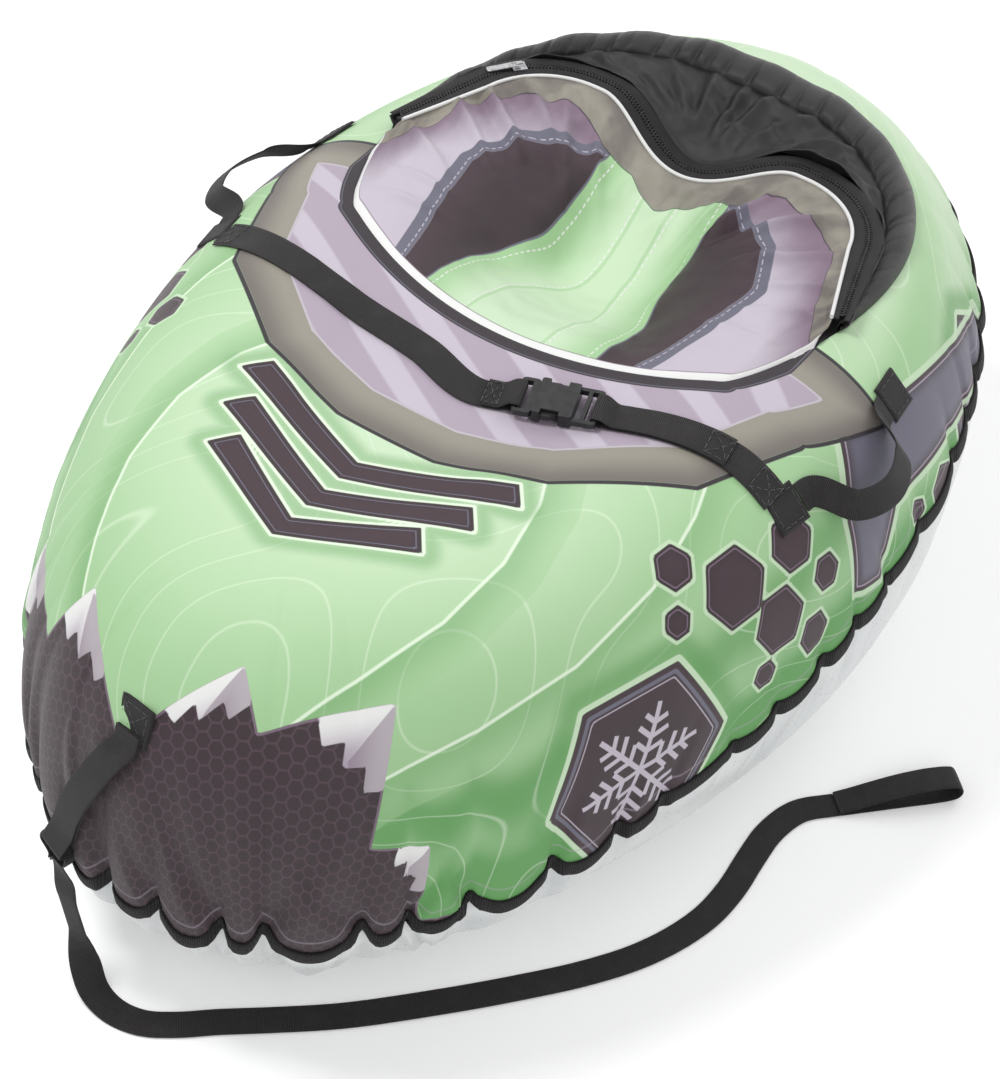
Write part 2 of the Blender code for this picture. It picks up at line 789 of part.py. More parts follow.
def zip_height(x):
    """The zip sags in the middle, where it comes to rest on the ring's rear slope at the lowest."""
    rear_edge = PATH_HALF_LENGTH * ZIP_BACK_share - ZIP_DIP_FORWARD + ZIP_HALF_WIDTH
    room = ZIP_HEIGHT - COVER_THICKNESS - rear_slope_height(rear_edge)
    return ZIP_HEIGHT - min(ZIP_DIP, room) * zip_dip(x)


def zip_side(share):
    """The direction across the zip in plan, towards the rear rim."""
    way = zip_point(min(share + ZIP_STEP_share, 1)) - zip_point(max(share - ZIP_STEP_share, 0))
    return Vector((way.y, -way.x, 0)).normalized()


def zip_half_width(share):
    near_end = min(share, 1 - share) * FRONT_STEPS / 4
    grow = min(1.0, near_end)
    return ZIP_END_HALF_WIDTH + (ZIP_HALF_WIDTH - ZIP_END_HALF_WIDTH) * grow


def column_end(share):
    """1 at the two ends of the opening, falling to 0 within a few columns."""
    near_end = min(share, 1 - share) * FRONT_STEPS / 4
    return max(0.0, 1 - near_end)


def opening_columns(deck):
    """For each column: its share, stripe-line point, zip point and rear rim point."""
    found = []
    for i, (front, rear) in enumerate(zip(band_stations(), rim_stations())):
        share = i / FRONT_STEPS
        start = deck_edge(deck, front)
        end = ring_point(rear, top_level(rear))
        middle = (1 - 2 * share) * 5 * EDGE_GAP * column_end(share)
        shift = Vector((-middle, 0, 0))
        found.append((share, start + shift, zip_point(share), end + shift))
    return found


def deck_edge(deck, front):
    """The cover's edge where the seat begins."""
    for turn, row in deck.items():
        if abs(math.sin((turn - front) / 2)) < LAYER_GAP:
            return row[-1].copy()
    return ring_point(front, top_level(front))


def towards(start, end, distance):
    way = plan(end) - plan(start)
    return plan(start) + way.normalized() * distance


def at_height(place, height):
    return Vector((place.x, place.y, height))


def seat_panel(tube, columns):
    outer = []
    for share, start, zipped, _ in columns:
        edge = zipped - zip_side(share) * (zip_half_width(share) + EDGE_GAP)
        first = towards(start, edge, EDGE_GAP)
        bow = 1 - (2 * share - 1) ** 4
        row = []
        for k in range(SEAT_STEPS + 1):
            s = k / SEAT_STEPS
            place = first + (edge - first) * s
            line = start.z + (zip_height(zipped.x) - start.z) * s
            power = math.log(0.5) / math.log(SEAT_VALLEY_share)
            dip = SEAT_DEPTH * bow * math.sin(math.pi * s**power) ** 1.5
            height = line - dip
            row.append(at_height(place, line if k in (0, SEAT_STEPS) else height))
        outer.append(row)
    clear_sheet(outer, tube, COVER_THICKNESS + LAYER_GAP * 3, True)
    inner = [[p - Vector((0, 0, COVER_THICKNESS)) for p in row] for row in outer]
    finish = material("seat_print", PRINT_LILAC, 0.6)
    return object_from("seat_panel", close_grid(outer, inner, False), finish)


def rim_width(share):
    return RIM_END_WIDTH + (RIM_WIDTH - RIM_END_WIDTH) * (1 - column_end(share))


def rim_inner_point(share, zipped, end):
    return towards(end, zipped, rim_width(share))


def seat_well(tube, columns):
    outer = []
    for share, _, zipped, end in columns:
        edge = zipped + zip_side(share) * (zip_half_width(share) + EDGE_GAP)
        last = towards(rim_inner_point(share, zipped, end), edge, EDGE_GAP)
        low = zip_height(zipped.x)
        high = skin_height(tube, last.x, last.y) + DRAPE_LIFT + COVER_THICKNESS
        row = []
        for k in range(WELL_STEPS + 1):
            s = k / WELL_STEPS
            place = edge + (last - edge) * s
            height = low + (high - low) * s - WELL_SAG * math.sin(math.pi * s) * (1 - column_end(share))
            if k in (0, WELL_STEPS):
                height = low if k == 0 else high
            row.append(at_height(place, height))
        outer.append(row)
    clear_sheet(outer, tube, COVER_THICKNESS + LAYER_GAP * 3, True)
    inner = [[p - Vector((0, 0, COVER_THICKNESS)) for p in row] for row in outer]
    finish = material("oxford_fabric", OXFORD_BLACK, 0.7)
    return object_from("seat_well", close_grid(outer, inner, False), finish)


def rim_padding(tube, columns):
    """The padded hem that the black fabric ends in, along the ring's crest."""
    outer, inner = [], []
    for share, _, zipped, end in columns:
        first = rim_inner_point(share, zipped, end)
        last = towards(end, zipped, EDGE_GAP * 3)
        low_row = []
        for k in range(RIM_STEPS + 1):
            s = k / RIM_STEPS
            place = first + (last - first) * s
            low_row.append(at_height(place, skin_height(tube, place.x, place.y) + LAYER_GAP * 2))
        inner.append(low_row)
    clear_sheet(inner, tube, LAYER_GAP)
    for low_row, (share, *_) in zip(inner, columns):
        fullness = RIM_PUFF * (1 - column_end(share) / 2)
        high_row = []
        for k, place in enumerate(low_row):
            puff = fullness * math.sin(math.pi * k / RIM_STEPS) ** RIM_FULL_share
            high_row.append(place + Vector((0, 0, RIM_EDGE_THICKNESS + puff)))
        outer.append(high_row)
    finish = material("oxford_fabric", OXFORD_BLACK, 0.7)
    return object_from("rim_padding", close_grid(outer, inner, False), finish)


def zip_strip(columns, name, near, far, thickness, lift, finish):
    """A flat strip beside the zip's line: near and far are distances across it for each share."""
    outer, inner = [], []
    for share, _, zipped, _ in columns:
        side = zip_side(share)
        height = zip_height(zipped.x) + lift
        row = [at_height(zipped + side * d(share), height) for d in (near, far)]
        outer.append([p + Vector((0, 0, thickness / 2)) for p in row])
        inner.append([p - Vector((0, 0, thickness / 2)) for p in row])
    return object_from(name, close_grid(outer, inner, False), finish)


def zip_pieces(columns):
    tape = material("zip_tape", WEBBING_BLACK, 0.75)
    coil = material("zip_coil", BUCKLE_BLACK, 0.4)
    inside = COIL_WIDTH / 2 + LAYER_GAP
    drop = -COVER_THICKNESS / 2
    front, near = lambda s: -zip_half_width(s), lambda s: -inside
    far, rear = lambda s: inside, zip_half_width
    zip_strip(columns, "zip_tape_front", front, near, TAPE_THICKNESS, drop, tape)
    zip_strip(columns, "zip_tape_rear", far, rear, TAPE_THICKNESS, drop, tape)
    half = COIL_WIDTH / 2
    zip_strip(columns, "zip_coil", lambda s: -half, lambda s: half, COIL_HEIGHT, drop, coil)
    piping = material("piping", PIPING_WHITE, 0.6)
    lift = COVER_THICKNESS / 2 + LAYER_GAP
    first = lambda s: -zip_half_width(s) - LAYER_GAP * 2 - PIPING_WIDTH
    last = lambda s: -zip_half_width(s) - LAYER_GAP * 2
    zip_strip(columns, "edge_piping", first, last, COVER_THICKNESS, lift, piping)


def slider_frame():
    """On the zip's corner arc: X along the zip towards its right end, Y out from the arc's centre."""
    centre = Vector((-ZIP_CORNER_X, ZIP_CORNER_Y, ZIP_HEIGHT - COVER_THICKNESS / 2))
    out = Vector((math.cos(SLIDER_REST_ANGLE), math.sin(SLIDER_REST_ANGLE), 0))
    along = Vector((out.y, -out.x, 0))
    spot = centre + out * ZIP_CORNER_RADIUS
    turn = Matrix((along, out, Vector((0, 0, 1)))).transposed().to_4x4()
    return Matrix.Translation(spot) @ turn, Matrix.Translation(centre)


def box(low, high, place=None):
    made = bmesh.new()
    xs, ys, zs = zip(low, high)
    corners = [Vector((x, y, z)) for z in zs for y in ys for x in xs]
    verts = [made.verts.new(place @ c if place else c) for c in corners]
    for face in ((0, 2, 3, 1), (4, 5, 7, 6), (0, 1, 5, 4), (2, 6, 7, 3), (0, 4, 6, 2), (1, 3, 7, 5)):
        made.faces.new([verts[i] for i in face])
    return made


def extrude_outline(outline, low, high, holes=()):
    """A plate from an outline in X and Y between two heights, with any holes through it."""
    made = bmesh.new()
    edges = []
    for loop in (outline, *holes):
        verts = [made.verts.new((x, y, low)) for x, y in loop]
        edges += [made.edges.new((verts[i], verts[(i + 1) % len(verts)])) for i in range(len(verts))]
    bmesh.ops.triangle_fill(made, edges=edges, use_beauty=True)
    pushed = bmesh.ops.extrude_face_region(made, geom=made.faces[:])
    moved = [g for g in pushed["geom"] if isinstance(g, bmesh.types.BMVert)]
    bmesh.ops.translate(made, verts=moved, vec=(0, 0, high - low))
    return made


def rectangle(x0, x1, y0, y1):
    return [(x0, y0), (x1, y0), (x1, y1), (x0, y1)]


def rounded(x0, x1, y0, y1, radius, steps=3):
    """A rectangle with round corners."""
    points = []
    centres = [(x1 - radius, y1 - radius, 0), (x0 + radius, y1 - radius, 1)]
    centres += [(x0 + radius, y0 + radius, 2), (x1 - radius, y0 + radius, 3)]
    for cx, cy, quarter in centres:
        for i in range(steps + 1):
            angle = math.pi / 2 * (quarter + i / steps)
            points.append((cx + radius * math.cos(angle), cy + radius * math.sin(angle)))
    return points


def slider_and_pull():
    place, centre = slider_frame()
    metal = material("zip_metal", BRIGHT_METAL, 0.3, 1.0)
    axis = empty_at("slider_axis", centre)
    top = COIL_HEIGHT / 2 + SLIDER_SIDE_CLEARANCE
    half = SLIDER_WIDTH / 2
    channel = COIL_WIDTH / 2 + SLIDER_SIDE_CLEARANCE
    foot = TAPE_THICKNESS / 2 + LAYER_GAP * 2
    roof = top + SLIDER_WALL
    section = [
        (-half, foot),
        (-channel, foot),
        (-channel, top),
        (channel, top),
        (channel, foot),
        (half, foot),
        (half, roof),
        (-half, roof),
    ]
    body = bmesh.new()
    ends = []
    for x in (-SLIDER_LENGTH / 2, SLIDER_LENGTH / 2):
        ends.append([body.verts.new((x, y, z)) for y, z in section])
    for i in range(len(section)):
        j = (i + 1) % len(section)
        body.faces.new((ends[0][i], ends[0][j], ends[1][j], ends[1][i]))
    body.faces.new(ends[0])
    body.faces.new(list(reversed(ends[1])))
    slider = object_from("zip_slider", body, metal, axis)
    slider.matrix_parent_inverse = axis.matrix_world.inverted()
    slider.matrix_world = place
    lug_low = (-BAIL_WIDTH, -BAIL_WIDTH / 2, roof - SLIDER_WALL / 2)
    lug_high = (BAIL_WIDTH, BAIL_WIDTH / 2, roof + BAIL_HEIGHT)
    lug = object_from("lug_union", box(lug_low, lug_high), metal)
    lug.matrix_world = place
    lug.hide_render = True
    lug.display_type = "WIRE"
    join = slider.modifiers.new("lug", "BOOLEAN")
    join.operation = "UNION"
    join.object = lug
    eye_z = roof + BAIL_HEIGHT / 2
    hole = BAIL_HEIGHT / 2 - LAYER_GAP * 2
    slot = box((-hole, -half, eye_z - hole / 2), (hole, half, eye_z + hole))
    cutter = cutter_from("lug_hole_cutter", slot)
    cutter.matrix_world = place
    cut(slider, cutter)
    droop = Matrix.Rotation(-PULL_DROOP, 4, "Y")
    pull_axis = empty_at("pull_axis", place @ Matrix.Translation((0, 0, eye_z + hole / 4)) @ droop)
    pull(pull_axis, hole, metal)


def pull(axis, hole, metal):
    """A tab with a wire eye through the slider's lug, lying back along the zip."""
    half = PULL_WIDTH / 2
    inner_half = BAIL_WIDTH / 2 + LAYER_GAP * 2
    wire = hole * PULL_WIRE_share
    outline = rounded(-PULL_LENGTH, wire / 2, -half, half, half / 2)
    window = rectangle(-wire / 2 - BAIL_WIDTH * 2, -wire / 2, -inner_half, inner_half)
    tab = extrude_outline(outline, -PULL_THICKNESS / 2, PULL_THICKNESS / 2, [window])
    return object_from("zip_pull", tab, metal, axis)


# Webbing, patches and buckle


def lay(tree, route, width, lift):
    """Lays a strap's route on the skins: gives its centres and the directions of its width."""
    line = smooth_points([Vector((x, y, 0)) for x, y in route], 3)
    centres, sides = [], []
    for i, place in enumerate(line):
        before, after = line[max(i - 1, 0)], line[min(i + 1, len(line) - 1)]
        way = (after - before).normalized()
        across = Vector((-way.y, way.x, 0)) * width / 2
        left, right = place - across, place + across
        off = lift + WEBBING_THICKNESS / 2
        left.z = height_over(tree, left.x, left.y, off)
        right.z = height_over(tree, right.x, right.y, off)
        middle = height_over(tree, place.x, place.y, off)
        centres.append(at_height(place, max(middle, (left.z + right.z) / 2)))
        sides.append((right - left) / width)
    for i in range(len(centres) - 1):
        raise_clear(tree, centres, sides, i, width, lift)
    return centres, sides


def raise_clear(tree, centres, sides, i, width, lift):
    """Raises two neighbouring points of a strap where the stretch between them would cut the skin."""
    need = 0.0
    for along in (0.0, 0.25, 0.5, 0.75, 1.0):
        for over in (-1.0, -0.5, 0.0, 0.5, 1.0):
            place = centres[i].lerp(centres[i + 1], along)
            place += sides[i].lerp(sides[i + 1], along) * over * width / 2
            need = max(need, height_over(tree, place.x, place.y, lift + WEBBING_THICKNESS / 2) - place.z)
    centres[i].z += need
    centres[i + 1].z += need


def lifted_clear(tree, place, half):
    """Moves a flat piece out along its own normal until no ridge of the skin comes through it."""
    normal = (place.to_3x3() @ Vector((0, 0, 1))).normalized()
    worst = 0.0
    spots = [-half, -half / 2, 0.0, half / 2, half]
    for x in spots:
        for y in spots:
            under = place @ Vector((x, y, 0))
            hit = tree.ray_cast(under + normal * half, -normal)
            if hit[0]:
                worst = max(worst, half - hit[3])
    return Matrix.Translation(normal * (worst + LAYER_GAP)) @ place


def patch_at(tree, name, turn, level):
    """A folded square of webbing sewn flat on the cover."""
    half = PATCH_SIZE / 2
    place = lifted_clear(tree, seat_on(tree, turn, level), half)
    plate = extrude_outline(rounded(-half, half, -half, half, half / 6, 2), 0, PATCH_THICKNESS)
    made = object_from(name, plate, material("webbing", WEBBING_BLACK, 0.8))
    made.matrix_world = place
    return place


def mirrored_turn(turn):
    return math.pi - turn


def handle(name, mirrored, rear, front):
    """A grab strap between two patches, standing clear of the cover. It swings about its upper edge."""
    ahead = 1 if mirrored else -1
    half = PATCH_SIZE / 2 + EDGE_GAP
    low = LAYER_GAP + WEBBING_THICKNESS / 2
    run = PATCH_SIZE / 4
    spots = ((half, low), (half + run, low + EDGE_GAP * 2))
    first = [rear @ Vector((ahead * x, 0, z)) for x, z in spots]
    last = [front @ Vector((-ahead * x, 0, z)) for x, z in reversed(spots)]
    centres, sides = first[:], [up_of(rear)] * 2
    for s in (0.3, 0.5, 0.7):
        turn = HANDLE_FIRST_ANGLE + (HANDLE_LAST_ANGLE - HANDLE_FIRST_ANGLE) * s
        turn = mirrored_turn(turn) if mirrored else turn
        bow = math.sin(math.pi * s)
        level = HANDLE_PATCH_LEVEL - HANDLE_DROP_LEVEL * bow
        stand = HANDLE_STAND_OFF * bow**1.3
        centres.append(ring_point(turn, level, -stand))
        higher = ring_point(turn, level + HANDLE_DROP_LEVEL, -stand)
        sides.append((higher - centres[-1]).normalized())
    centres += last
    sides += [up_of(front)] * 2
    line = smooth_points(centres, 3)
    widths = smooth_points(sides, 3, knots_of(centres))
    solid = ribbon(line, widths, STRAP_WIDTH, WEBBING_THICKNESS)
    made = object_from(name, solid, material("webbing", WEBBING_BLACK, 0.8))
    set_origin(made, centres[0] + up_of(rear) * STRAP_WIDTH / 2)
    return made


def up_of(place):
    """The up-slope direction of a patch."""
    return (place.to_3x3() @ Vector((0, 1, 0))).normalized()


def set_origin(item, place):
    item.data.transform(Matrix.Translation(-place))
    item.matrix_world = Matrix.Translation(place)


def buckle_frame(tree):
    """Lies parallel to the deck under it."""
    along = Vector((math.cos(BUCKLE_TURN), math.sin(BUCKLE_TURN), 0))
    across = Vector((-along.y, along.x, 0))
    centre = Vector((BUCKLE_X, BUCKLE_Y, 0))
    ends = [centre + way * reach for way, reach in (
        (along, -SOCKET_LENGTH),
        (along, SOCKET_LENGTH),
        (across, -BUCKLE_WIDTH / 2),
        (across, BUCKLE_WIDTH / 2),
    )]
    ends = [at_height(p, skin_height(tree, p.x, p.y)) for p in ends]
    x_way = (ends[1] - ends[0]).normalized()
    z_way = x_way.cross(ends[3] - ends[2]).normalized()
    y_way = z_way.cross(x_way)
    turn = Matrix((x_way, y_way, z_way)).transposed().to_4x4()
    middle = (ends[0] + ends[1] + ends[2] + ends[3]) / 4
    top = max(middle.z, skin_height(tree, BUCKLE_X, BUCKLE_Y))
    return Matrix.Translation(at_height(middle, top) + z_way * BUCKLE_LIFT) @ turn


def plate_with(name, outline, holes, thickness, finish, parent):
    made = extrude_outline(outline, -thickness / 2, thickness / 2, holes)
    return object_from(name, made, finish, parent)


def buckle(tree):
    """A side-release buckle: X runs from the plug's strap to the socket's."""
    place = buckle_frame(tree)
    base = empty_at("buckle_frame", place)
    plastic = material("buckle_plastic", BUCKLE_BLACK, 0.35)
    half = BUCKLE_WIDTH / 2
    mouth = -SOCKET_LENGTH / 2
    end = SOCKET_LENGTH / 2
    ladder_end = end + 2 * BAR_SLOT + 2 * BAR_DEPTH
    socket_solid(base, plastic, half, mouth, end, ladder_end)
    plug_solid(base, plastic, half, mouth)
    return place, ladder_end


def slot_ring(start, half):
    """One webbing slot of a buckle frame."""
    return rectangle(start, start + BAR_SLOT, -half + FRAME_SIDE, half - FRAME_SIDE)


def socket_solid(base, plastic, half, mouth, end, ladder_end):
    slots = [slot_ring(end, half), slot_ring(end + BAR_SLOT + BAR_DEPTH, half)]
    outline = rounded(end - SOCKET_WALL * 2, ladder_end, -half, half, FRAME_SIDE, 3)
    frame = plate_with("socket_ladder", outline, slots, BUCKLE_FRAME_THICKNESS, plastic, base)
    frame.hide_render = True
    frame.display_type = "WIRE"
    shell = rounded(mouth, end, -half, half, SOCKET_WALL, 3)
    socket = plate_with("buckle_socket", shell, [], BUCKLE_THICKNESS, plastic, base)
    join = socket.modifiers.new("ladder", "BOOLEAN")
    join.operation = "UNION"
    join.object = frame
    inside = half - SOCKET_SIDE_WALL
    deep = BUCKLE_THICKNESS / 2 - SOCKET_WALL
    pocket = box((mouth - SOCKET_WALL, -inside, -deep), (end - SOCKET_WALL, inside, deep))
    cutter = cutter_from("socket_pocket_cutter", pocket)
    cutter.parent = base
    cut(socket, cutter)
    for side in (-1, 1):
        low_y = min(side * (half - SOCKET_SIDE_WALL * 3), side * (half + SOCKET_WALL))
        high_y = max(side * (half - SOCKET_SIDE_WALL * 3), side * (half + SOCKET_WALL))
        start = mouth + WINDOW_START
        tall = BUCKLE_THICKNESS
        window = box((start, low_y, -tall), (start + WINDOW_LENGTH, high_y, tall))
        opening = cutter_from("socket_window_cutter_%d" % (side + 1), window)
        opening.parent = base
        cut(socket, opening)


def plug_solid(base, plastic, half, mouth):
    """The plug's frame, shoulder and guide tongue. The two prongs are pieces of their own that flex."""
    face = mouth - PLUG_CLEARANCE
    rear = face - PLUG_SHOULDER - BAR_SLOT - BAR_DEPTH
    slot_start = face - PLUG_SHOULDER - BAR_SLOT
    outline = rounded(rear, face, -half, half, FRAME_SIDE, 3)
    slots = [slot_ring(slot_start, half)]
    plug = plate_with("buckle_plug", outline, slots, BUCKLE_FRAME_THICKNESS, plastic, base)
    tongue_half = TONGUE_WIDTH / 2
    tongue = box(
        (face - PLUG_SHOULDER / 2, -tongue_half, -TONGUE_THICKNESS / 2),
        (face + TONGUE_LENGTH, tongue_half, TONGUE_THICKNESS / 2),
    )
    guide = object_from("plug_tongue", tongue, plastic, base)
    guide.hide_render = True
    guide.display_type = "WIRE"
    join = plug.modifiers.new("tongue", "BOOLEAN")
    join.operation = "UNION"
    join.object = guide
    for side, name in ((-1, "buckle_prong_front"), (1, "buckle_prong_rear")):
        prong(base, plastic, name, side, face, half)


def prong(base, plastic, name, side, face, half):
    """A springy arm with a hooked head that fills the socket's side window."""
    root = face + PRONG_ROOT_GAP
    inner = PRONG_OFFSET
    outer = PRONG_OFFSET + PRONG_WIDTH
    window = face + PLUG_CLEARANCE + WINDOW_START + PLUG_CLEARANCE
    head_end = window + PRONG_HEAD_LENGTH
    tip = face + PRONG_LENGTH
    proud = half - SOCKET_SIDE_WALL / 4
    outline = [
        (root, inner),
        (tip, inner),
        (tip, outer),
        (head_end, proud - PRONG_WIDTH / 2),
        (head_end - PRONG_WIDTH, proud),
        (window, proud),
        (window, outer),
        (root, outer),
    ]
    placed = [(x - root, side * y - side * PRONG_OFFSET) for x, y in outline]
    made = extrude_outline(placed, -PRONG_THICKNESS / 2, PRONG_THICKNESS / 2)
    item = object_from(name, made, plastic, base)
    item.location = (root, side * PRONG_OFFSET, 0)


def strap_round_bar(tree, name, route, frame, bar_start, doubled):
    """A belt half: laid from its sewn end to the buckle, round a bar and back over itself.

    The frame's X points into the buckle and bar_start is where the bar begins along it.
    """
    away = [frame @ Vector((bar_start - x, 0, 0)) for x in (BELT_WIDTH, SEWN_END / 2)]
    plan_route = route + [(p.x, p.y) for p in away]
    centres, sides = lay(tree, plan_route, BELT_WIDTH, STRAP_LIFT)
    across = frame.to_3x3() @ Vector((0, 1, 0))
    high = BUCKLE_FRAME_THICKNESS / 2 + LAYER_GAP + WEBBING_THICKNESS / 2
    wrap = [(bar_start - EDGE_GAP * 5, -high)]
    edge = bar_start + BAR_DEPTH
    steps = 8
    for i in range(steps + 1):
        angle = math.pi * (i / steps - 1 / 2)
        reach = FOLD_REACH * math.sqrt(abs(math.cos(angle)))
        wrap.append((edge + reach, high * signed_power(math.sin(angle), 1 / 2)))
    wrap.append((bar_start - EDGE_GAP * 2, high))
    bend = [frame @ Vector((x, 0, z)) for x, z in wrap]
    up = Vector((0, 0, WEBBING_THICKNESS + LAYER_GAP * 2))
    back = []
    for place, side in reversed(list(zip(centres, sides))):
        length = (place - bend[0]).length
        if length < doubled:
            back.append((place + up, side))
    line = centres + bend + [p for p, _ in back]
    widths = sides + [across] * len(bend) + [side for _, side in back]
    solid = ribbon(line, widths, BELT_WIDTH, WEBBING_THICKNESS)
    return object_from(name, solid, material("belt_webbing", WEBBING_BLACK, 0.8))


def belt(tree, place, ladder_end):
    plug_bar = -SOCKET_LENGTH / 2 - PLUG_CLEARANCE - PLUG_SHOULDER - BAR_SLOT - BAR_DEPTH
    left = [(PATH_HALF_WIDTH * across, -PATH_HALF_LENGTH * ahead) for across, ahead in BELT_LEFT_shares]
    right = [(PATH_HALF_WIDTH * across, -PATH_HALF_LENGTH * ahead) for across, ahead in BELT_RIGHT_shares]
    strap_round_bar(tree, "belt_strap_left", left, place, plug_bar, SEWN_END)
    flipped = place @ Matrix.Rotation(math.pi, 4, "Z")
    strap_round_bar(tree, "belt_strap_right", right, flipped, -ladder_end, SEWN_END * 4)


def tow_guide(patch):
    """The tow loop's middle line, from its patch down the ring's front, and the way out from it."""
    found = []
    face = (patch.to_3x3() @ Vector((0, 0, 1))).normalized()
    lift = PATCH_THICKNESS + LAYER_GAP * 1.5 + WEBBING_THICKNESS
    for share in (0.4, 1.1):
        found.append((patch @ Vector((0, -PATCH_SIZE / 2 * share, lift)), face))
    for i in range(1, TOW_STEPS + 1):
        share = i / TOW_STEPS
        turn = TOW_FIRST_TURN + (TOW_LAST_TURN - TOW_FIRST_TURN) * share
        level = TOW_FIRST_LEVEL + (TOW_LAST_LEVEL - TOW_FIRST_LEVEL) * share
        stand = TOW_FIRST_STAND + (TOW_LAST_STAND - TOW_FIRST_STAND) * share
        place = ring_point(turn, level, -stand)
        found.append((place, (place - ring_point(turn, level)).normalized()))
    return found


def tow_loop(webbing, patch):
    """A strap folded in two round an eye: down its inner face, round the eye and back up its outer face."""
    skin = (WEBBING_THICKNESS + LAYER_GAP) / 2
    guide = tow_guide(patch)
    centre, out = guide.pop()
    way = (centre - guide[-1][0]).normalized()
    out = (out - way * out.dot(way)).normalized()
    last_side = out.cross(way).normalized()
    first_side = patch.to_3x3() @ Vector((1, 0, 0))
    first_side *= math.copysign(1, first_side.dot(last_side))
    inner, outer, sides = [], [], []
    for i, (place, face) in enumerate(guide):
        share = i / len(guide)
        flare = EYE_RADIUS * max(0.0, share - 0.7)
        inner.append(place - face * (skin + flare))
        outer.append(place + face * (skin + flare))
        sides.append(first_side.lerp(last_side, share))
    bend = []
    for i in range(9):
        angle = EYE_STEP * (i - 4)
        bend.append(centre + way * EYE_RADIUS * math.cos(angle) + out * EYE_RADIUS * math.sin(angle))
    points = inner + bend + list(reversed(outer))
    widths = sides + [last_side] * len(bend) + list(reversed(sides))
    made = object_from("tow_loop", ribbon(points, widths, STRAP_WIDTH, WEBBING_THICKNESS), webbing)
    set_origin(made, (inner[0] + outer[0]) / 2)
    return centre, way, last_side


def tow_pieces(tree):
    webbing = material("webbing", WEBBING_BLACK, 0.8)
    patch = patch_at(tree, "tow_patch", TOW_FIRST_TURN, TOW_PATCH_LEVEL)
    centre, way, side = tow_loop(webbing, patch)
    joint = centre + way * STRAP_EYE_LENGTH
    strap_eye(webbing, centre, side, joint)
    tow_strap(webbing, joint, side)


def strap_eye(webbing, centre, side, joint_at):
    """The tow strap's own narrow eye, threaded through the tow loop."""
    down = joint_at - centre
    length = down.length
    down.normalize()
    face = side.cross(down).normalized()
    half = STRAP_WIDTH / 2 + EDGE_GAP * 4
    inside = EYE_RADIUS * math.cos(EYE_STEP / 2) - WEBBING_THICKNESS / 2 - LAYER_GAP
    drop = math.sqrt(inside**2 - (STRAP_EYE_WIDTH / 2) ** 2) - WEBBING_THICKNESS / 2
    joint = (WEBBING_THICKNESS + LAYER_GAP) / 2
    shape = [
        (joint, length - EDGE_GAP * 2),
        (joint * 2, length - EDGE_GAP * 12),
        (half, drop + half * 0.9),
        (half + EDGE_GAP, drop + half * 0.35),
        (half - EDGE_GAP, drop + EDGE_GAP * 2),
        (half - EDGE_GAP * 6, drop),
    ]
    route = shape + [(-x, z) for x, z in reversed(shape)]
    points = [centre + side * x + down * z for x, z in route]
    solid = ribbon(points, [face] * len(points), STRAP_EYE_WIDTH, WEBBING_THICKNESS)
    object_from("tow_strap_eye", solid, webbing)


def tow_strap(webbing, joint_at, first_side):
    route = [joint_at] + [Vector(p) for p in TOW_ROUTE]
    line = smooth_points(route, 3)
    sides = []
    for i, place in enumerate(line):
        before, after = line[max(i - 1, 0)], line[min(i + 1, len(line) - 1)]
        way = (after - before).normalized()
        hanging = min(1.0, place.z / (RING_HEIGHT / 8))
        flat = Vector((-way.y, way.x, 0)).normalized()
        sides.append(first_side * hanging + flat * (1 - hanging))
    object_from("tow_strap", ribbon(line, sides, STRAP_WIDTH, WEBBING_THICKNESS), webbing)
    hand_loop(webbing, line, sides)


def hand_loop(webbing, line, sides):
    """The sewn loop at the tow strap's far end, lying open on the snow."""
    end = line[-1]
    way = (line[-1] - line[-2]).normalized()
    way.z = 0
    side = Vector((-way.y, way.x, 0))
    start = end + way * LAYER_GAP * 2
    half = HAND_LOOP_OPENING / 2
    centres = []
    for s in (0.0, 0.12, 0.3, 0.55, 0.8):
        lift = half * math.sin(math.pi * min(1.0, s * 0.62)) ** 1.2
        rise = Vector((0, 0, lift * 2 + WEBBING_THICKNESS * 1.2))
        centres.append(start + way * HAND_LOOP_LENGTH * s + rise)
    tip = start + way * (HAND_LOOP_LENGTH - half)
    height = half + WEBBING_THICKNESS * 0.6
    for i in range(7):
        angle = math.pi / 2 - math.pi * i / 6
        spot = way * half * math.cos(angle) + Vector((0, 0, half * math.sin(angle) + height))
        centres.append(tip + spot)
    for s in (0.8, 0.55, 0.3, 0.12, 0.0):
        centres.append(start + way * HAND_LOOP_LENGTH * s)
    floor = end.z
    centres = [Vector((p.x, p.y, max(p.z, floor))) for p in centres]
    solid = ribbon(centres, [side] * len(centres), STRAP_WIDTH, WEBBING_THICKNESS)
    object_from("tow_hand_loop", solid, webbing)


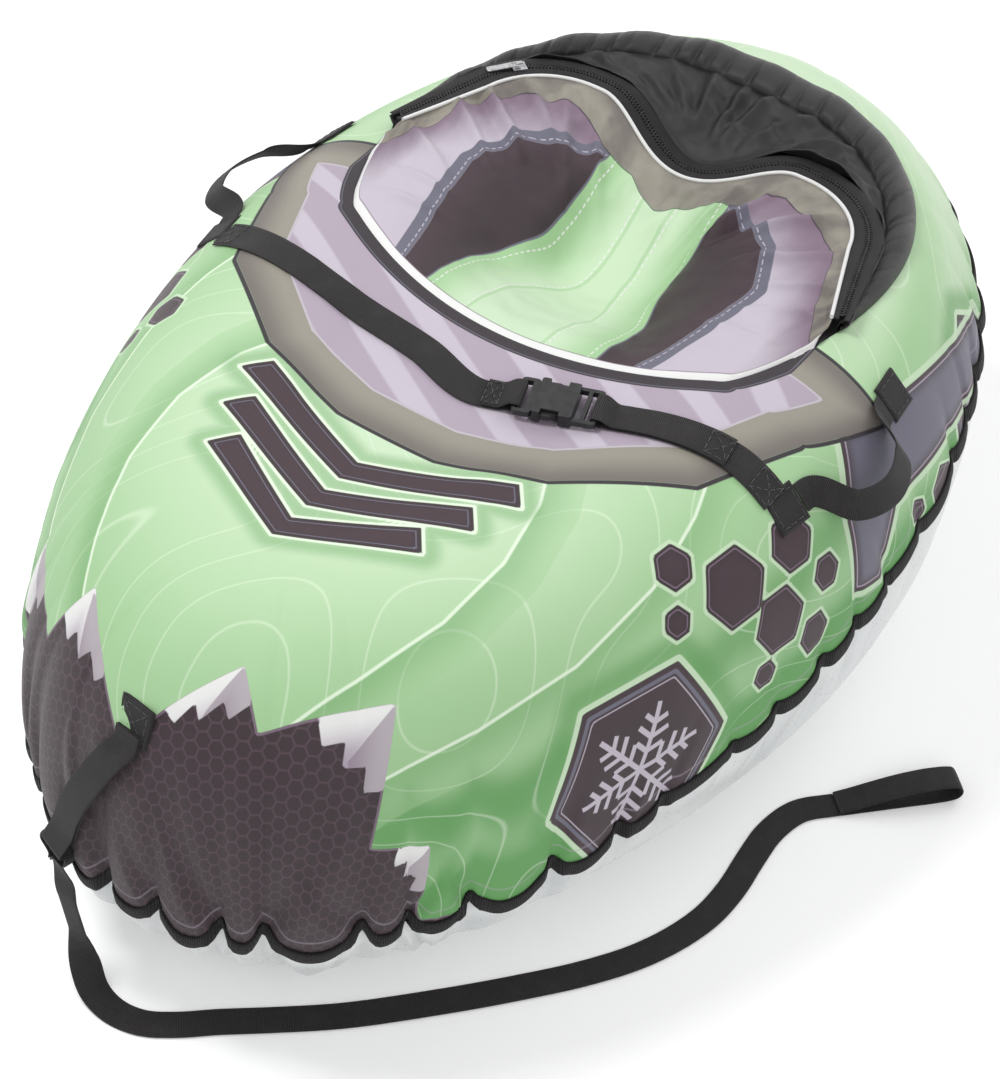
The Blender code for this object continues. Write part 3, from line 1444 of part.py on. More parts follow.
def build():
    clear_scene()
    tube = inner_tube()
    deck = deck_grid(tube)
    columns = opening_columns(deck)
    top_cover(deck)
    base_cover()
    edge_binding()
    seat_panel(tube, columns)
    seat_well(tube, columns)
    rim_padding(tube, columns)
    zip_pieces(columns)
    slider_and_pull()
    skins = skin_tree(["top_cover", "seat_panel"])
    patches = {}
    for side, mirrored in (("right", False), ("left", True)):
        for end, turn in (("rear", HANDLE_FIRST_ANGLE), ("front", HANDLE_LAST_ANGLE)):
            spot = mirrored_turn(turn) if mirrored else turn
            name = "handle_patch_%s_%s" % (side, end)
            patches[name] = patch_at(skins, name, spot, HANDLE_PATCH_LEVEL)
    for side, mirrored in (("right", False), ("left", True)):
        rear, front = (patches["handle_patch_%s_%s" % (side, end)] for end in ("rear", "front"))
        handle("handle_" + side, mirrored, rear, front)
    place, ladder_end = buckle(skins)
    belt(skins, place, ladder_end)
    tow_pieces(skins)


build()
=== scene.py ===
import json
import math
import random

import bpy
import numpy as np
from mathutils import Matrix, Vector, noise
from mathutils.bvhtree import BVHTree

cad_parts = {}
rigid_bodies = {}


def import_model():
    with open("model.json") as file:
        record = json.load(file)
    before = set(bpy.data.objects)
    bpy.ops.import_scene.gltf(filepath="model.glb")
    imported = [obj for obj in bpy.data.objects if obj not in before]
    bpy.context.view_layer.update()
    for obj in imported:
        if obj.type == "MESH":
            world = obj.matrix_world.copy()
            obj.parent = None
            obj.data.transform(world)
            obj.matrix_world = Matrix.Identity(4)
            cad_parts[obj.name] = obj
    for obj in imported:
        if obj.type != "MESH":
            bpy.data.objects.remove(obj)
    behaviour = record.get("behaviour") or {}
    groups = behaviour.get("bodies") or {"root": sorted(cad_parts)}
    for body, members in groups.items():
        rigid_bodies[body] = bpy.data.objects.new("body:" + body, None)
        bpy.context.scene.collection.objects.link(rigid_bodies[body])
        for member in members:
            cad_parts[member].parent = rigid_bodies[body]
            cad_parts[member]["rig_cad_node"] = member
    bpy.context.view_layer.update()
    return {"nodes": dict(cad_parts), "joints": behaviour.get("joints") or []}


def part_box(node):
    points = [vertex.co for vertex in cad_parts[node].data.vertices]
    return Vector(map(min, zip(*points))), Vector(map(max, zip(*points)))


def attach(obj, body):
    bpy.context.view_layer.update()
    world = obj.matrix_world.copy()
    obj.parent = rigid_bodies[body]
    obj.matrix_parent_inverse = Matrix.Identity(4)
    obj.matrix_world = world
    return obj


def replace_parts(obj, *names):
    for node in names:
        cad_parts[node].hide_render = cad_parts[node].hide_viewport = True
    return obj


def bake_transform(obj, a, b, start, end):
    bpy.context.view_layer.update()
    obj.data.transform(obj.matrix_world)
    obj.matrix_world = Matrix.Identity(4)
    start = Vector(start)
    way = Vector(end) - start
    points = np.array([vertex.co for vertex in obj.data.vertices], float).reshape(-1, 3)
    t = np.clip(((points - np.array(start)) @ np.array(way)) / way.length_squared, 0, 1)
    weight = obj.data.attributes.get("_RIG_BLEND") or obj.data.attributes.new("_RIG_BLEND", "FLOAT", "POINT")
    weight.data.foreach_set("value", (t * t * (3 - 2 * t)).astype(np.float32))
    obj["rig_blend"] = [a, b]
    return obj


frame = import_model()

# Picture and camera
PICTURE_WIDTH = 1000
PICTURE_HEIGHT = 1079
CAMERA_AZIMUTH = math.radians(29.91)
CAMERA_ELEVATION = math.radians(44.41)
CAMERA_ROLL = math.radians(5.19)
CAMERA_DISTANCE = 2.432
CAMERA_TARGET = Vector((0, 0, 0.1145))
FOCAL_PIXELS = 2751.3
CENTRE_PIXEL = (511.9, 524.8)
SENSOR_WIDTH = 36.0

# Floor and light. The floor's glow grows over a range of distances from the object's middle.
FLOOR_SIZE = 14
FLOOR_COLOUR = (0.97, 0.97, 0.97, 1)
WHITE = (1, 1, 1, 1)
FLOOR_GLOW = 0.13
FAR_FLOOR_GLOW = 0.60
FAR_FLOOR = (0.75, 2.6)
ROOM_LIGHT = 0.60
LAMP_TARGET = Vector((0, 0, 0.2))
# Each lamp's name, place, size and power
LAMPS = [
    ("key", (-1.2, -0.6, 2.8), 0.8, 42),
    ("fill", (1.9, -1.5, 1.9), 1.6, 15),
    ("back", (0.6, 2.2, 2.0), 1.8, 17),
]

# Ring and outline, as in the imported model
TUBE_LENGTH = 1.050
RING_HEIGHT = 0.382
RING_WIDTH = 0.310
PATH_HALF_WIDTH = 0.180
HOLE_HALF_WIDTH = 0.022
HOLE_HALF_LENGTH = 0.200
REAR_TAPER = 0.16
OUTLINE_ROUNDNESS = 1.089
SECTION_ROUNDNESS = 0.864
SEAM_MID_ANGLE = math.radians(3.6)
SEAM_RISE_ANGLE = math.radians(21.4)
RIM_SHOULDER_ANGLE = math.radians(22)
RIM_REAR_ANGLE = math.radians(8)
VEE_ANGLE = math.radians(15)
BAND_FORWARD = 0.055
LAYER_GAP = 0.0003
SHEET_THICKNESS = 0.0012
TUBE_CLEARANCE = 0.0028

# Zip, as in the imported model
ZIP_HEIGHT = 0.3880
ZIP_CORNER_RADIUS = 0.090
ZIP_CORNER_X = 0.108
ZIP_CORNER_Y = 0.188
ZIP_END_X = 0.222
ZIP_END_Y = 0.118
ZIP_DIP = 0.030
ZIP_DIP_FORWARD = 0.028
ZIP_DIP_HALF_WIDTH = 0.100
ZIP_HALF_WIDTH = 0.0130
ZIP_END_HALF_WIDTH = 0.0070
COIL_WIDTH = 0.0060
COIL_PITCH = 0.0016
RIM_WIDTH = 0.042
RIM_END_WIDTH = 0.007
RIM_PUFF = 0.013
ZIP_SEAM = 0.0006
ZIP_GAP = 0.0022
STRIPE_TUCK = 0.0035
TUCK_DROP = 0.0015
PIN_REACH = 0.012
TUBE_EASE = 0.004
TAPE_LIFT = 0.0004
TAPE_BOW = 0.0006
TAPE_THICKNESS = 0.0009
PIPING_RADIUS = 0.0017
# Along half of a coil's loop: the share of its reach, and its thickness
COIL_SECTIONS = ((-0.25, 0.0011), (0.25, 0.0011), (0.75, 0.0011), (1.0, 0.0011 * 0.55))

# Seat: low waves all over and crumples near the zip, each with a height, a length and where it fades
SEAT_FOLD_FADE = 0.016
SEAT_WAVE = 0.0030
SEAT_WAVE_LENGTH = 0.060
SEAT_WAVE_FADE = 0.05
SEAT_WAVE_SEED = 3.0
SEAT_CRUMPLE = 0.0050
SEAT_CRUMPLE_LENGTH = 0.040
SEAT_CRUMPLE_REACH = (0.02, 0.11)
SEAT_CRUMPLE_SEED = 9.0
SEAT_OVER_TUBE = (0.004, 0.018)
STRIP_WIDTH = 0.030
ZIGZAG_DEPTH = 0.022
ZIGZAG_PITCH = 0.070

# Well: folds that spread from gathers at the zip. Places along it are shares of the zip's length.
WELL_SEED = 23
WELL_FOLDS = 15
WELL_FIRST_FOLD = 0.07
WELL_FOLD_SPAN = 0.86
WELL_GATHER = (0.25, 0.55)
WELL_VALLEY = 0.024
WELL_FOLD_HEIGHT = (0.0070, 0.0135)
WELL_FOLD_WIDTH = (0.0055, 0.0095)
WELL_CRUMPLE = 0.0065
WELL_CRUMPLE_LENGTH = 0.060
WELL_CRUMPLE_FADE = 0.03
WELL_CRUMPLE_SEED = 31.0

# Rim: how far it laps over the sheets beside it, and its pleats
RIM_INNER_LAP = 0.001
RIM_OUTER_LAP = 0.0015
RIM_LEAST_PUFF = 0.0025
PLEAT_SEED = 11
PLEAT_WIDTH = 0.0030
PLEAT_SPACING = (0.013, 0.030)
PLEAT_DEPTH = 0.36
PLEAT_REACH = 0.34

# Webbing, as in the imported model
BELT_WIDTH = 0.030
STRAP_WIDTH = 0.025
WEBBING_THICKNESS = 0.0018
PATCH_SIZE = 0.034
PATCH_THICKNESS = 0.0026
HANDLE_STAND_OFF = 0.028
HANDLE_FIRST_ANGLE = math.radians(17.5)
HANDLE_LAST_ANGLE = math.radians(-8)
HANDLE_PATCH_LEVEL = math.radians(51)
HANDLE_DROP_LEVEL = math.radians(13)
TOW_FIRST_LEVEL = math.radians(27)
TOW_LAST_LEVEL = math.radians(-9)
TOW_FIRST_TURN = math.radians(-91)
TOW_LAST_TURN = math.radians(-96.5)
TOW_BEND_RADIUS = 0.008
TOW_STAND = 0.004
TOW_END_STAND = 0.017
EYE_WIDTH = 0.0095
EYE_LENGTH = 0.030
HAND_LOOP_HALF = 0.008
HAND_LOOP_LENGTH = 0.110

# Belt, buckle and stitches
BUCKLE_CENTRE = Vector((0.0896647, -0.1033650, 0.3836305))
SOCKET_LENGTH = 0.032
PLUG_CLEARANCE = 0.0005
PLUG_SHOULDER = 0.006
BAR_SLOT = 0.0064
BAR_DEPTH = 0.0034
FOLD_REACH = 0.0016
BUCKLE_FRAME_THICKNESS = 0.005
SEWN_END = 0.026
SEWN_BOX = 0.024
SEWN_HALF_SHARE = 0.40
STITCH_LENGTH = 0.0042
STITCH_GAP = 0.0022
THREAD_RADIUS = 0.00042
BELT_LIFT = 0.0009
BELT_BLEND = 0.060
LEFT_ROUTE = [(-0.260, -0.074), (-0.235, -0.079), (-0.170, -0.090), (-0.100, -0.100), (-0.035, -0.108)]
RIGHT_ROUTE = [(0.269, -0.064), (0.235, -0.064), (0.200, -0.070)]
# Where the two bars that the belt is folded round begin, along the buckle from its centre
PLUG_BAR = -SOCKET_LENGTH / 2 - PLUG_CLEARANCE - PLUG_SHOULDER - BAR_SLOT - BAR_DEPTH
LADDER_END = SOCKET_LENGTH / 2 + 2 * BAR_SLOT + 2 * BAR_DEPTH

# The tow strap's route, from the loop's eye down to the floor and along it, in metres.
TOW_ROUTE = [
    (-0.0740, -0.5220, 0.0980),
    (-0.0680, -0.5260, 0.0780),
    (-0.0600, -0.5290, 0.0600),
    (-0.0520, -0.5320, 0.0430),
    (-0.0430, -0.5370, 0.0210),
    (-0.0290, -0.5440, 0.0060),
    (-0.0080, -0.5480, 0.0016),
    (0.0180, -0.5440, 0.0014),
    (0.0420, -0.5290, 0.0014),
    (0.0640, -0.5100, 0.0014),
    (0.1000, -0.4810, 0.0014),
    (0.1380, -0.4490, 0.0014),
    (0.1900, -0.3960, 0.0014),
    (0.2400, -0.3400, 0.0014),
    (0.2780, -0.2930, 0.0014),
    (0.3020, -0.2560, 0.0014),
    (0.3180, -0.2200, 0.0014),
    (0.3270, -0.1860, 0.0014),
    (0.3290, -0.1500, 0.0014),
    (0.3260, -0.1120, 0.0014),
    (0.3250, -0.0760, 0.0014),
    (0.3340, -0.0420, 0.0014),
    (0.3560, -0.0170, 0.0014),
]

# Hem gathers. A pair is the range of a random size, in metres where it is a length.
GATHER_SEED = 7
GATHER_LINE_POINTS = 2400
FRONT_GATHER_WIDTH = 0.030
FRONT_GATHER_EXTRA = 0.056
SIDE_GATHER_WIDTH = (0.045, 0.085)
FRONT_GATHER_REACH = (0.05, 0.15)
SIDE_GATHER_REACH = (0.03, 0.07)
CREASE_DEPTH = (0.35, 1.0)
CREASE_WIDTH = (0.0040, 0.0080)
CREASE_LEAN = (-0.45, 0.45)
CREASE_SPREAD = 0.07
FRONT_FROM = (0.40, 0.90)
FRONT_SCALLOP = 0.0120
SIDE_SCALLOP = 0.0026
FRONT_BULGE = 0.0145
SIDE_BULGE = 0.0058
ROOM_UNDER_COVER = 0.0008
BASE_PUCKER = 1.15
PATCH_CALM = (0.026, 0.060)
TUCK_DEPTH = 0.0016
TUCK_REACH = 0.008
BINDING_HEIGHT = 0.0165
BINDING_THICKNESS = 0.0038
BINDING_STAND = 0.32

# The deck leaves the ring's crest over this length, and its points count as this far from the hem
DECK_FADE = 0.035
FAR_FROM_HEM = 0.3

# Mesh fineness
COVER_TURNS = 960
SIDE_COLUMNS = 72
DECK_COLUMNS = 100
BASE_COLUMNS = 52
SEAT_COLUMNS = 320
SEAT_ROWS = 110
WELL_ROWS = 64
RIM_COLUMNS = 900
RIM_ROWS = 26
SIDE_ROW_SPREAD = 1.25
BASE_ROW_SPREAD = 0.8

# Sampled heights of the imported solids: the plan's low corner, its size and the spacing
PLAN_LOW = (-0.36, -0.56)
PLAN_SIZE = (0.72, 1.12)
PLAN_SPACING = 0.003


def linear(red, green, blue):
    """Scene colour of an 8-bit screen colour."""
    found = []
    for value in (red, green, blue):
        share = value / 255
        found.append(share / 12.92 if share <= 0.04045 else ((share + 0.055) / 1.055) ** 2.4)
    return (*found, 1.0)


LIGHT_GREEN = linear(199, 222, 190)
MID_GREEN = linear(160, 199, 149)
DEEP_GREEN = linear(96, 156, 88)
BEVEL_GREEN = linear(228, 242, 220)
AUBERGINE = linear(60, 44, 51)
NOSE_DARK = linear(50, 37, 43)
NOSE_LIGHT = linear(74, 57, 66)
LILAC = linear(170, 157, 172)
PALE_LILAC = linear(192, 184, 196)
DEEP_LILAC = linear(128, 108, 126)
TAUPE = linear(148, 143, 132)
DEEP_TAUPE = linear(112, 106, 101)
SLATE = linear(104, 103, 118)
OFF_WHITE = linear(230, 230, 229)
LINE_DARK = linear(46, 40, 46)
BASE_GREY = linear(220, 222, 222)
BASE_DEEP = linear(212, 215, 216)
BASE_SCUFF = linear(196, 199, 200)
OXFORD_DARK = linear(15, 13, 14)
OXFORD_LIGHT = linear(24, 21, 22)
OXFORD_THREAD = linear(44, 40, 42)
WEBBING_DARK = linear(13, 12, 13)
WEBBING_LIGHT = linear(58, 55, 56)
WEBBING_WORN = linear(62, 59, 60)
BINDING_DARK = linear(15, 14, 15)
BINDING_LIGHT = linear(40, 37, 39)
METAL_LIGHT = linear(206, 206, 208)
METAL_DARK = linear(150, 148, 150)
THREAD = linear(58, 56, 58)
THREAD_DARK = (0.02, 0.02, 0.02, 1)


# Camera, floor and light


def make_camera():
    back = Vector((
        math.sin(CAMERA_AZIMUTH) * math.cos(CAMERA_ELEVATION),
        -math.cos(CAMERA_AZIMUTH) * math.cos(CAMERA_ELEVATION),
        math.sin(CAMERA_ELEVATION),
    ))
    right = Vector((0, 0, 1)).cross(back).normalized()
    up = back.cross(right)
    rolled_right = right * math.cos(CAMERA_ROLL) + up * math.sin(CAMERA_ROLL)
    rolled_up = up * math.cos(CAMERA_ROLL) - right * math.sin(CAMERA_ROLL)
    camera = bpy.data.cameras.new("camera")
    camera.sensor_width = SENSOR_WIDTH
    camera.lens = FOCAL_PIXELS * SENSOR_WIDTH / PICTURE_HEIGHT
    camera.shift_x = (PICTURE_WIDTH / 2 - CENTRE_PIXEL[0]) / PICTURE_HEIGHT
    camera.shift_y = (CENTRE_PIXEL[1] - PICTURE_HEIGHT / 2) / PICTURE_HEIGHT
    made = bpy.data.objects.new("camera", camera)
    turn = Matrix((rolled_right, rolled_up, back)).transposed().to_4x4()
    made.matrix_world = Matrix.Translation(CAMERA_TARGET + back * CAMERA_DISTANCE) @ turn
    bpy.context.scene.collection.objects.link(made)
    bpy.context.scene.camera = made


def area_light(name, place, size, power):
    light = bpy.data.lights.new(name, "AREA")
    light.shape = "DISK"
    light.size = size
    light.energy = power
    made = bpy.data.objects.new(name, light)
    made.location = place
    made.rotation_mode = "QUATERNION"
    made.rotation_quaternion = (LAMP_TARGET - Vector(place)).to_track_quat("-Z", "Y")
    bpy.context.scene.collection.objects.link(made)


def background_rays(tree):
    """1 for the rays that show the white background: the camera's, reflected ones and those through glass."""
    path = tree.nodes.new("ShaderNodeLightPath")
    seen = path.outputs["Is Camera Ray"]
    for kind in ("Is Glossy Ray", "Is Transmission Ray"):
        either = tree.nodes.new("ShaderNodeMath")
        either.operation = "MAXIMUM"
        tree.links.new(seen, either.inputs[0])
        tree.links.new(path.outputs[kind], either.inputs[1])
        seen = either.outputs[0]
    return seen


def make_world():
    """White behind everything, and a dimmer white as the room's light."""
    world = bpy.data.worlds.new("studio")
    bpy.context.scene.world = world
    world.use_nodes = True
    tree = world.node_tree
    shade = tree.nodes["Background"]
    level = tree.nodes.new("ShaderNodeMapRange")
    level.inputs["To Min"].default_value = ROOM_LIGHT
    level.inputs["To Max"].default_value = 1.0
    tree.links.new(background_rays(tree), level.inputs["Value"])
    tree.links.new(level.outputs[0], shade.inputs["Strength"])
    shade.inputs["Color"].default_value = WHITE


def floor_material():
    """Near white, with a faint glow that grows away from the object, so that the far floor is white."""
    nodes = Nodes("floor")
    away = nodes.node("VectorMath", operation="LENGTH")
    nodes.join(nodes.body(), away.inputs[0])
    glow = nodes.between(away.outputs["Value"], *FAR_FLOOR, FLOOR_GLOW, FAR_FLOOR_GLOW)
    seen = nodes.maths("MULTIPLY", background_rays(nodes.tree), glow)
    nodes.join(seen, nodes.shader.inputs["Emission Strength"])
    return nodes.finish(FLOOR_COLOUR, 0.9, Specular_IOR_Level=0.1, Emission_Color=WHITE)


def make_stage():
    bpy.context.scene.view_settings.view_transform = "Standard"
    make_world()
    for lamp in LAMPS:
        area_light(*lamp)
    bpy.ops.mesh.primitive_plane_add(size=FLOOR_SIZE, location=(0, 0, 0))
    floor = bpy.context.object
    floor.name = "floor"
    floor.data.materials.append(floor_material())


# Ring geometry


def signed_power(value, power):
    return np.sign(value) * np.abs(value) ** power


def coords(*parts):
    """Points, or places on a flat map, from their coordinates."""
    return np.stack(np.broadcast_arrays(*parts), axis=-1)


def interpolated(wanted, length, values):
    """Rows of values that belong to some lengths, at other lengths."""
    return coords(*(np.interp(wanted, length, column) for column in values.T))


def unit(ways):
    return ways / np.linalg.norm(ways, axis=-1, keepdims=True)


def running_length(points):
    """Length along a line of points, from 0 at the first."""
    return np.concatenate([[0], np.cumsum(np.linalg.norm(np.diff(points, axis=0), axis=-1))])


def path_half_length():
    return (TUBE_LENGTH - RING_WIDTH) / 2


def path_point(turn):
    across = signed_power(np.cos(turn), OUTLINE_ROUNDNESS)
    along = signed_power(np.sin(turn), OUTLINE_ROUNDNESS)
    x = PATH_HALF_WIDTH * across * (1 + REAR_TAPER * along)
    return coords(x, path_half_length() * along, 0.0)


def path_normal(turn):
    step = math.radians(0.01)
    way = path_point(turn + step) - path_point(turn - step)
    return unit(coords(way[..., 1], -way[..., 0], 0.0))


def seam_level(turn):
    return SEAM_MID_ANGLE + SEAM_RISE_ANGLE * np.sin(turn)


def top_level(turn):
    """Where the printed cover ends on the ring: at the crest in front, outside it round the rim."""
    sine = np.sin(turn)
    shoulder = RIM_SHOULDER_ANGLE * np.abs(np.sin(2 * turn)) ** (1 + sine**2)
    rear = math.pi / 2 - shoulder - RIM_REAR_ANGLE * sine**2
    return np.where(sine <= 0, math.pi / 2, rear)


def hole_point(turn):
    return coords(HOLE_HALF_WIDTH * np.cos(turn), HOLE_HALF_LENGTH * np.sin(turn), 0.0)


def ring_point(turn, level, lift=0.0):
    """A point that far over the ring's skin. Past the crest it runs in towards the hole."""
    turn, level = np.broadcast_arrays(np.asarray(turn, float), np.asarray(level, float))
    across = (np.abs(np.cos(level)) ** SECTION_ROUNDNESS)[..., None]
    centre = path_point(turn)
    outside = centre + path_normal(turn) * (RING_WIDTH / 2 + lift) * across
    inwards = hole_point(turn) - centre
    reach = np.linalg.norm(inwards, axis=-1, keepdims=True)
    inside = centre + inwards / reach * (reach + lift) * across
    place = np.where(np.cos(level)[..., None] >= 0, outside, inside)
    upward = signed_power(np.sin(level), SECTION_ROUNDNESS)
    place[..., 2] = RING_HEIGHT / 2 + (RING_HEIGHT / 2 + lift) * upward
    return place


def smooth_step(value, low, high):
    share = np.clip((value - low) / (high - low), 0, 1)
    return share * share * (3 - 2 * share)


def even_turns(count):
    """Angles of evenly spaced points on the ring's seam, their lengths and the whole length."""
    fine = np.linspace(0, 2 * math.pi, count * 8 + 1)
    length = running_length(ring_point(fine, seam_level(fine)))
    wanted = np.linspace(0, length[-1], count, endpoint=False)
    return np.interp(wanted, length, fine), wanted, length[-1]


class Gathers:
    """The hem's uneven gathers: cells of cloth between the places where the elastic pulls it in."""

    def __init__(self):
        chance = random.Random(GATHER_SEED)
        self.turns, self.lengths, self.total = even_turns(GATHER_LINE_POINTS)
        knots, heights, reaches, depths, widths, leans = [0.0], [], [], [], [], []
        while knots[-1] < self.total:
            front = float(self.front_share(np.interp(knots[-1], self.lengths, self.turns)))
            wide = chance.random() ** 1.6
            front_width = FRONT_GATHER_WIDTH + FRONT_GATHER_EXTRA * wide
            side_width = chance.uniform(*SIDE_GATHER_WIDTH)
            knots.append(knots[-1] + (front_width * front + side_width * (1 - front)))
            heights.append(min(1.0, 0.42 + 0.5 * wide + chance.uniform(0.0, 0.3)))
            front_reach = chance.uniform(*FRONT_GATHER_REACH)
            side_reach = chance.uniform(*SIDE_GATHER_REACH)
            reaches.append(front_reach * front + side_reach * (1 - front))
            depths.append(chance.uniform(*CREASE_DEPTH))
            widths.append(chance.uniform(*CREASE_WIDTH))
            leans.append(chance.uniform(*CREASE_LEAN))
        self.knots = np.array(knots) * self.total / knots[-1]
        self.heights, self.reaches = np.array(heights), np.array(reaches)
        self.depths, self.widths, self.leans = np.array(depths), np.array(widths), np.array(leans)

    def front_share(self, turn):
        return smooth_step(-np.sin(turn), *FRONT_FROM)

    def size(self, turn, front_size, side_size):
        front = self.front_share(turn)
        return front_size * front + side_size * (1 - front)

    def length_at(self, turn):
        return np.interp(np.mod(turn, 2 * math.pi), self.turns, self.lengths)

    def cell(self, turn):
        """For each angle: its place in its gather, from 0 to 1, and the gather's number."""
        length = self.length_at(turn)
        number = np.clip(np.searchsorted(self.knots, length, "right") - 1, 0, len(self.heights) - 1)
        start, end = self.knots[number], self.knots[number + 1]
        return (length - start) / (end - start), number

    def wave(self, turn):
        share, number = self.cell(turn)
        return self.heights[number] * (1 - np.abs(2 * share - 1) ** 2.3) ** 1.25

    def drop(self, turn):
        """How far the hem hangs below the seam line."""
        return self.size(turn, FRONT_SCALLOP, SIDE_SCALLOP) * (2 * self.wave(turn) - 0.9)

    def bulge(self, turn, distance):
        """How far the cloth stands out at a distance from the hem."""
        size = self.size(turn, FRONT_BULGE, SIDE_BULGE)
        _, number = self.cell(turn)
        stand = size * self.wave(turn) * np.exp(-((distance / self.reaches[number]) ** 1.5))
        return np.maximum(stand - self.crease(turn, distance, 0.62 * size), -ROOM_UNDER_COVER)

    def crease(self, turn, distance, size):
        """Narrow valleys that run up from the places where the elastic pulls the cloth in."""
        length = self.length_at(turn)
        _, number = self.cell(turn)
        total = np.zeros(np.broadcast(turn, distance).shape)
        for step in (0, 1):
            k = np.mod(number + step, len(self.heights))
            off = length - self.knots[number + step] - self.leans[k] * distance
            width = self.widths[k] + CREASE_SPREAD * distance
            near = (1 - 1.1 * (off / width) ** 2) * np.exp(-0.9 * (off / width) ** 2)
            total = total + self.depths[k] * near * np.exp(-((distance / (1.1 * self.reaches[k])) ** 2))
        return size * total


GATHERS = Gathers()


def hem_level(turn):
    return seam_level(turn) - GATHERS.drop(turn) / (RING_HEIGHT / 2)


# Meshes


def grid_normals(points, round_trip=False):
    """Unit normals of a grid of points."""
    if round_trip:
        along = np.roll(points, -1, axis=0) - np.roll(points, 1, axis=0)
    else:
        along = np.gradient(points, axis=0)
    across = np.gradient(points, axis=1)
    out = np.cross(along, across)
    size = np.linalg.norm(out, axis=-1, keepdims=True)
    return out / np.maximum(size, 1e-12)


def grid_faces(rows, columns, round_trip=False, start=0):
    first = np.arange(rows if round_trip else rows - 1)
    second = (first + 1) % rows
    j = np.arange(columns - 1)
    a = start + first[:, None] * columns + j
    b = start + second[:, None] * columns + j
    return np.stack([a, b, b + 1, a + 1], axis=-1).reshape(-1, 4)


def mesh_object(name, points, faces, flat, layers, finish):
    """A smooth mesh with a flat map in metres and any named values on its points."""
    mesh = bpy.data.meshes.new(name)
    faces = faces if isinstance(faces, list) else faces.tolist()
    mesh.from_pydata(points.reshape(-1, 3).tolist(), [], faces)
    mesh.validate()
    if flat is not None:
        corner = np.zeros(len(mesh.loops), np.int32)
        mesh.loops.foreach_get("vertex_index", corner)
        layer = mesh.uv_layers.new(name="flat")
        layer.data.foreach_set("uv", flat.reshape(-1, 2)[corner].astype(np.float32).ravel())
    for key, values in (layers or {}).items():
        attribute = mesh.attributes.new(key, "FLOAT", "POINT")
        attribute.data.foreach_set("value", np.asarray(values, np.float32).ravel())
    mesh.shade_smooth()
    mesh.materials.append(finish)
    made = bpy.data.objects.new(name, mesh)
    bpy.context.scene.collection.objects.link(made)
    return made


def thicken(item, thickness):
    """Give a sheet its thickness, inwards."""
    solid = item.modifiers.new("thickness", "SOLIDIFY")
    solid.thickness = thickness
    solid.offset = -1.0
    solid.use_even_offset = False


def tree_of(objects):
    points, faces = [], []
    for item in objects:
        start = len(points)
        points += [v.co.copy() for v in item.data.vertices]
        faces += [[start + i for i in p.vertices] for p in item.data.polygons]
    return BVHTree.FromPolygons(points, faces)


def skin_hit(tree, x, y):
    """Where a line straight down first meets a skin, and the skin's normal there."""
    place, normal, _, _ = tree.ray_cast(Vector((x, y, RING_HEIGHT * 2)), Vector((0, 0, -1)))
    return place, normal


class HeightField:
    """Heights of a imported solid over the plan, made smooth."""

    def __init__(self, name, spread):
        tree = tree_of([frame["nodes"][name]])
        self.shape = tuple(int(size / PLAN_SPACING) + 1 for size in PLAN_SIZE)
        heights = np.zeros(self.shape)
        known = np.zeros(self.shape)
        for i in range(self.shape[0]):
            for j in range(self.shape[1]):
                place, _ = skin_hit(tree, PLAN_LOW[0] + i * PLAN_SPACING, PLAN_LOW[1] + j * PLAN_SPACING)
                if place:
                    heights[i, j] = place.z
                    known[i, j] = 1
        self.values = self.spread_over(heights, known, spread / PLAN_SPACING)

    def spread_over(self, heights, known, sigma):
        reach = int(sigma * 3) + 1
        kernel = np.exp(-(np.arange(-reach, reach + 1) ** 2) / (2 * sigma**2))
        kernel /= kernel.sum()
        total, weight = heights * known, known
        for axis in (0, 1):
            total = np.apply_along_axis(lambda m: np.convolve(m, kernel, "same"), axis, total)
            weight = np.apply_along_axis(lambda m: np.convolve(m, kernel, "same"), axis, weight)
        return np.where(weight > 1e-4, total / np.maximum(weight, 1e-9), 0)

    def at(self, x, y):
        u = np.clip((x - PLAN_LOW[0]) / PLAN_SPACING, 0, self.shape[0] - 1.001)
        v = np.clip((y - PLAN_LOW[1]) / PLAN_SPACING, 0, self.shape[1] - 1.001)
        i, j = u.astype(int), v.astype(int)
        s, t = u - i, v - j
        near = self.values[i, j] * (1 - s) + self.values[i + 1, j] * s
        far = self.values[i, j + 1] * (1 - s) + self.values[i + 1, j + 1] * s
        return near * (1 - t) + far * t


def rough(x, y, scale, seed, octaves=3):
    """Smooth random values between about -1 and 1 over the plan."""
    found = np.empty(x.shape)
    values = found.reshape(-1)
    for i, (px, py) in enumerate(zip(x.ravel(), y.ravel())):
        values[i] = noise.fractal(Vector((px / scale + seed, py / scale, 0.0)), 1.0, 2.0, octaves)
    return found


def fold(x, y, start, end, width, height, sharp=2.0):
    """A ridge (or with a negative height a valley) along a line in plan, dying out at both ends."""
    start, end = np.array(start, float), np.array(end, float)
    way = end - start
    length = np.linalg.norm(way)
    way /= length
    along = ((x - start[0]) * way[0] + (y - start[1]) * way[1]) / length
    off = np.abs((x - start[0]) * -way[1] + (y - start[1]) * way[0])
    taper = np.sin(math.pi * np.clip(along, 0, 1)) ** 0.7
    return height * taper * np.exp(-((off / width) ** sharp))


# Signed distances in the flat print, in metres, positive inside a motif


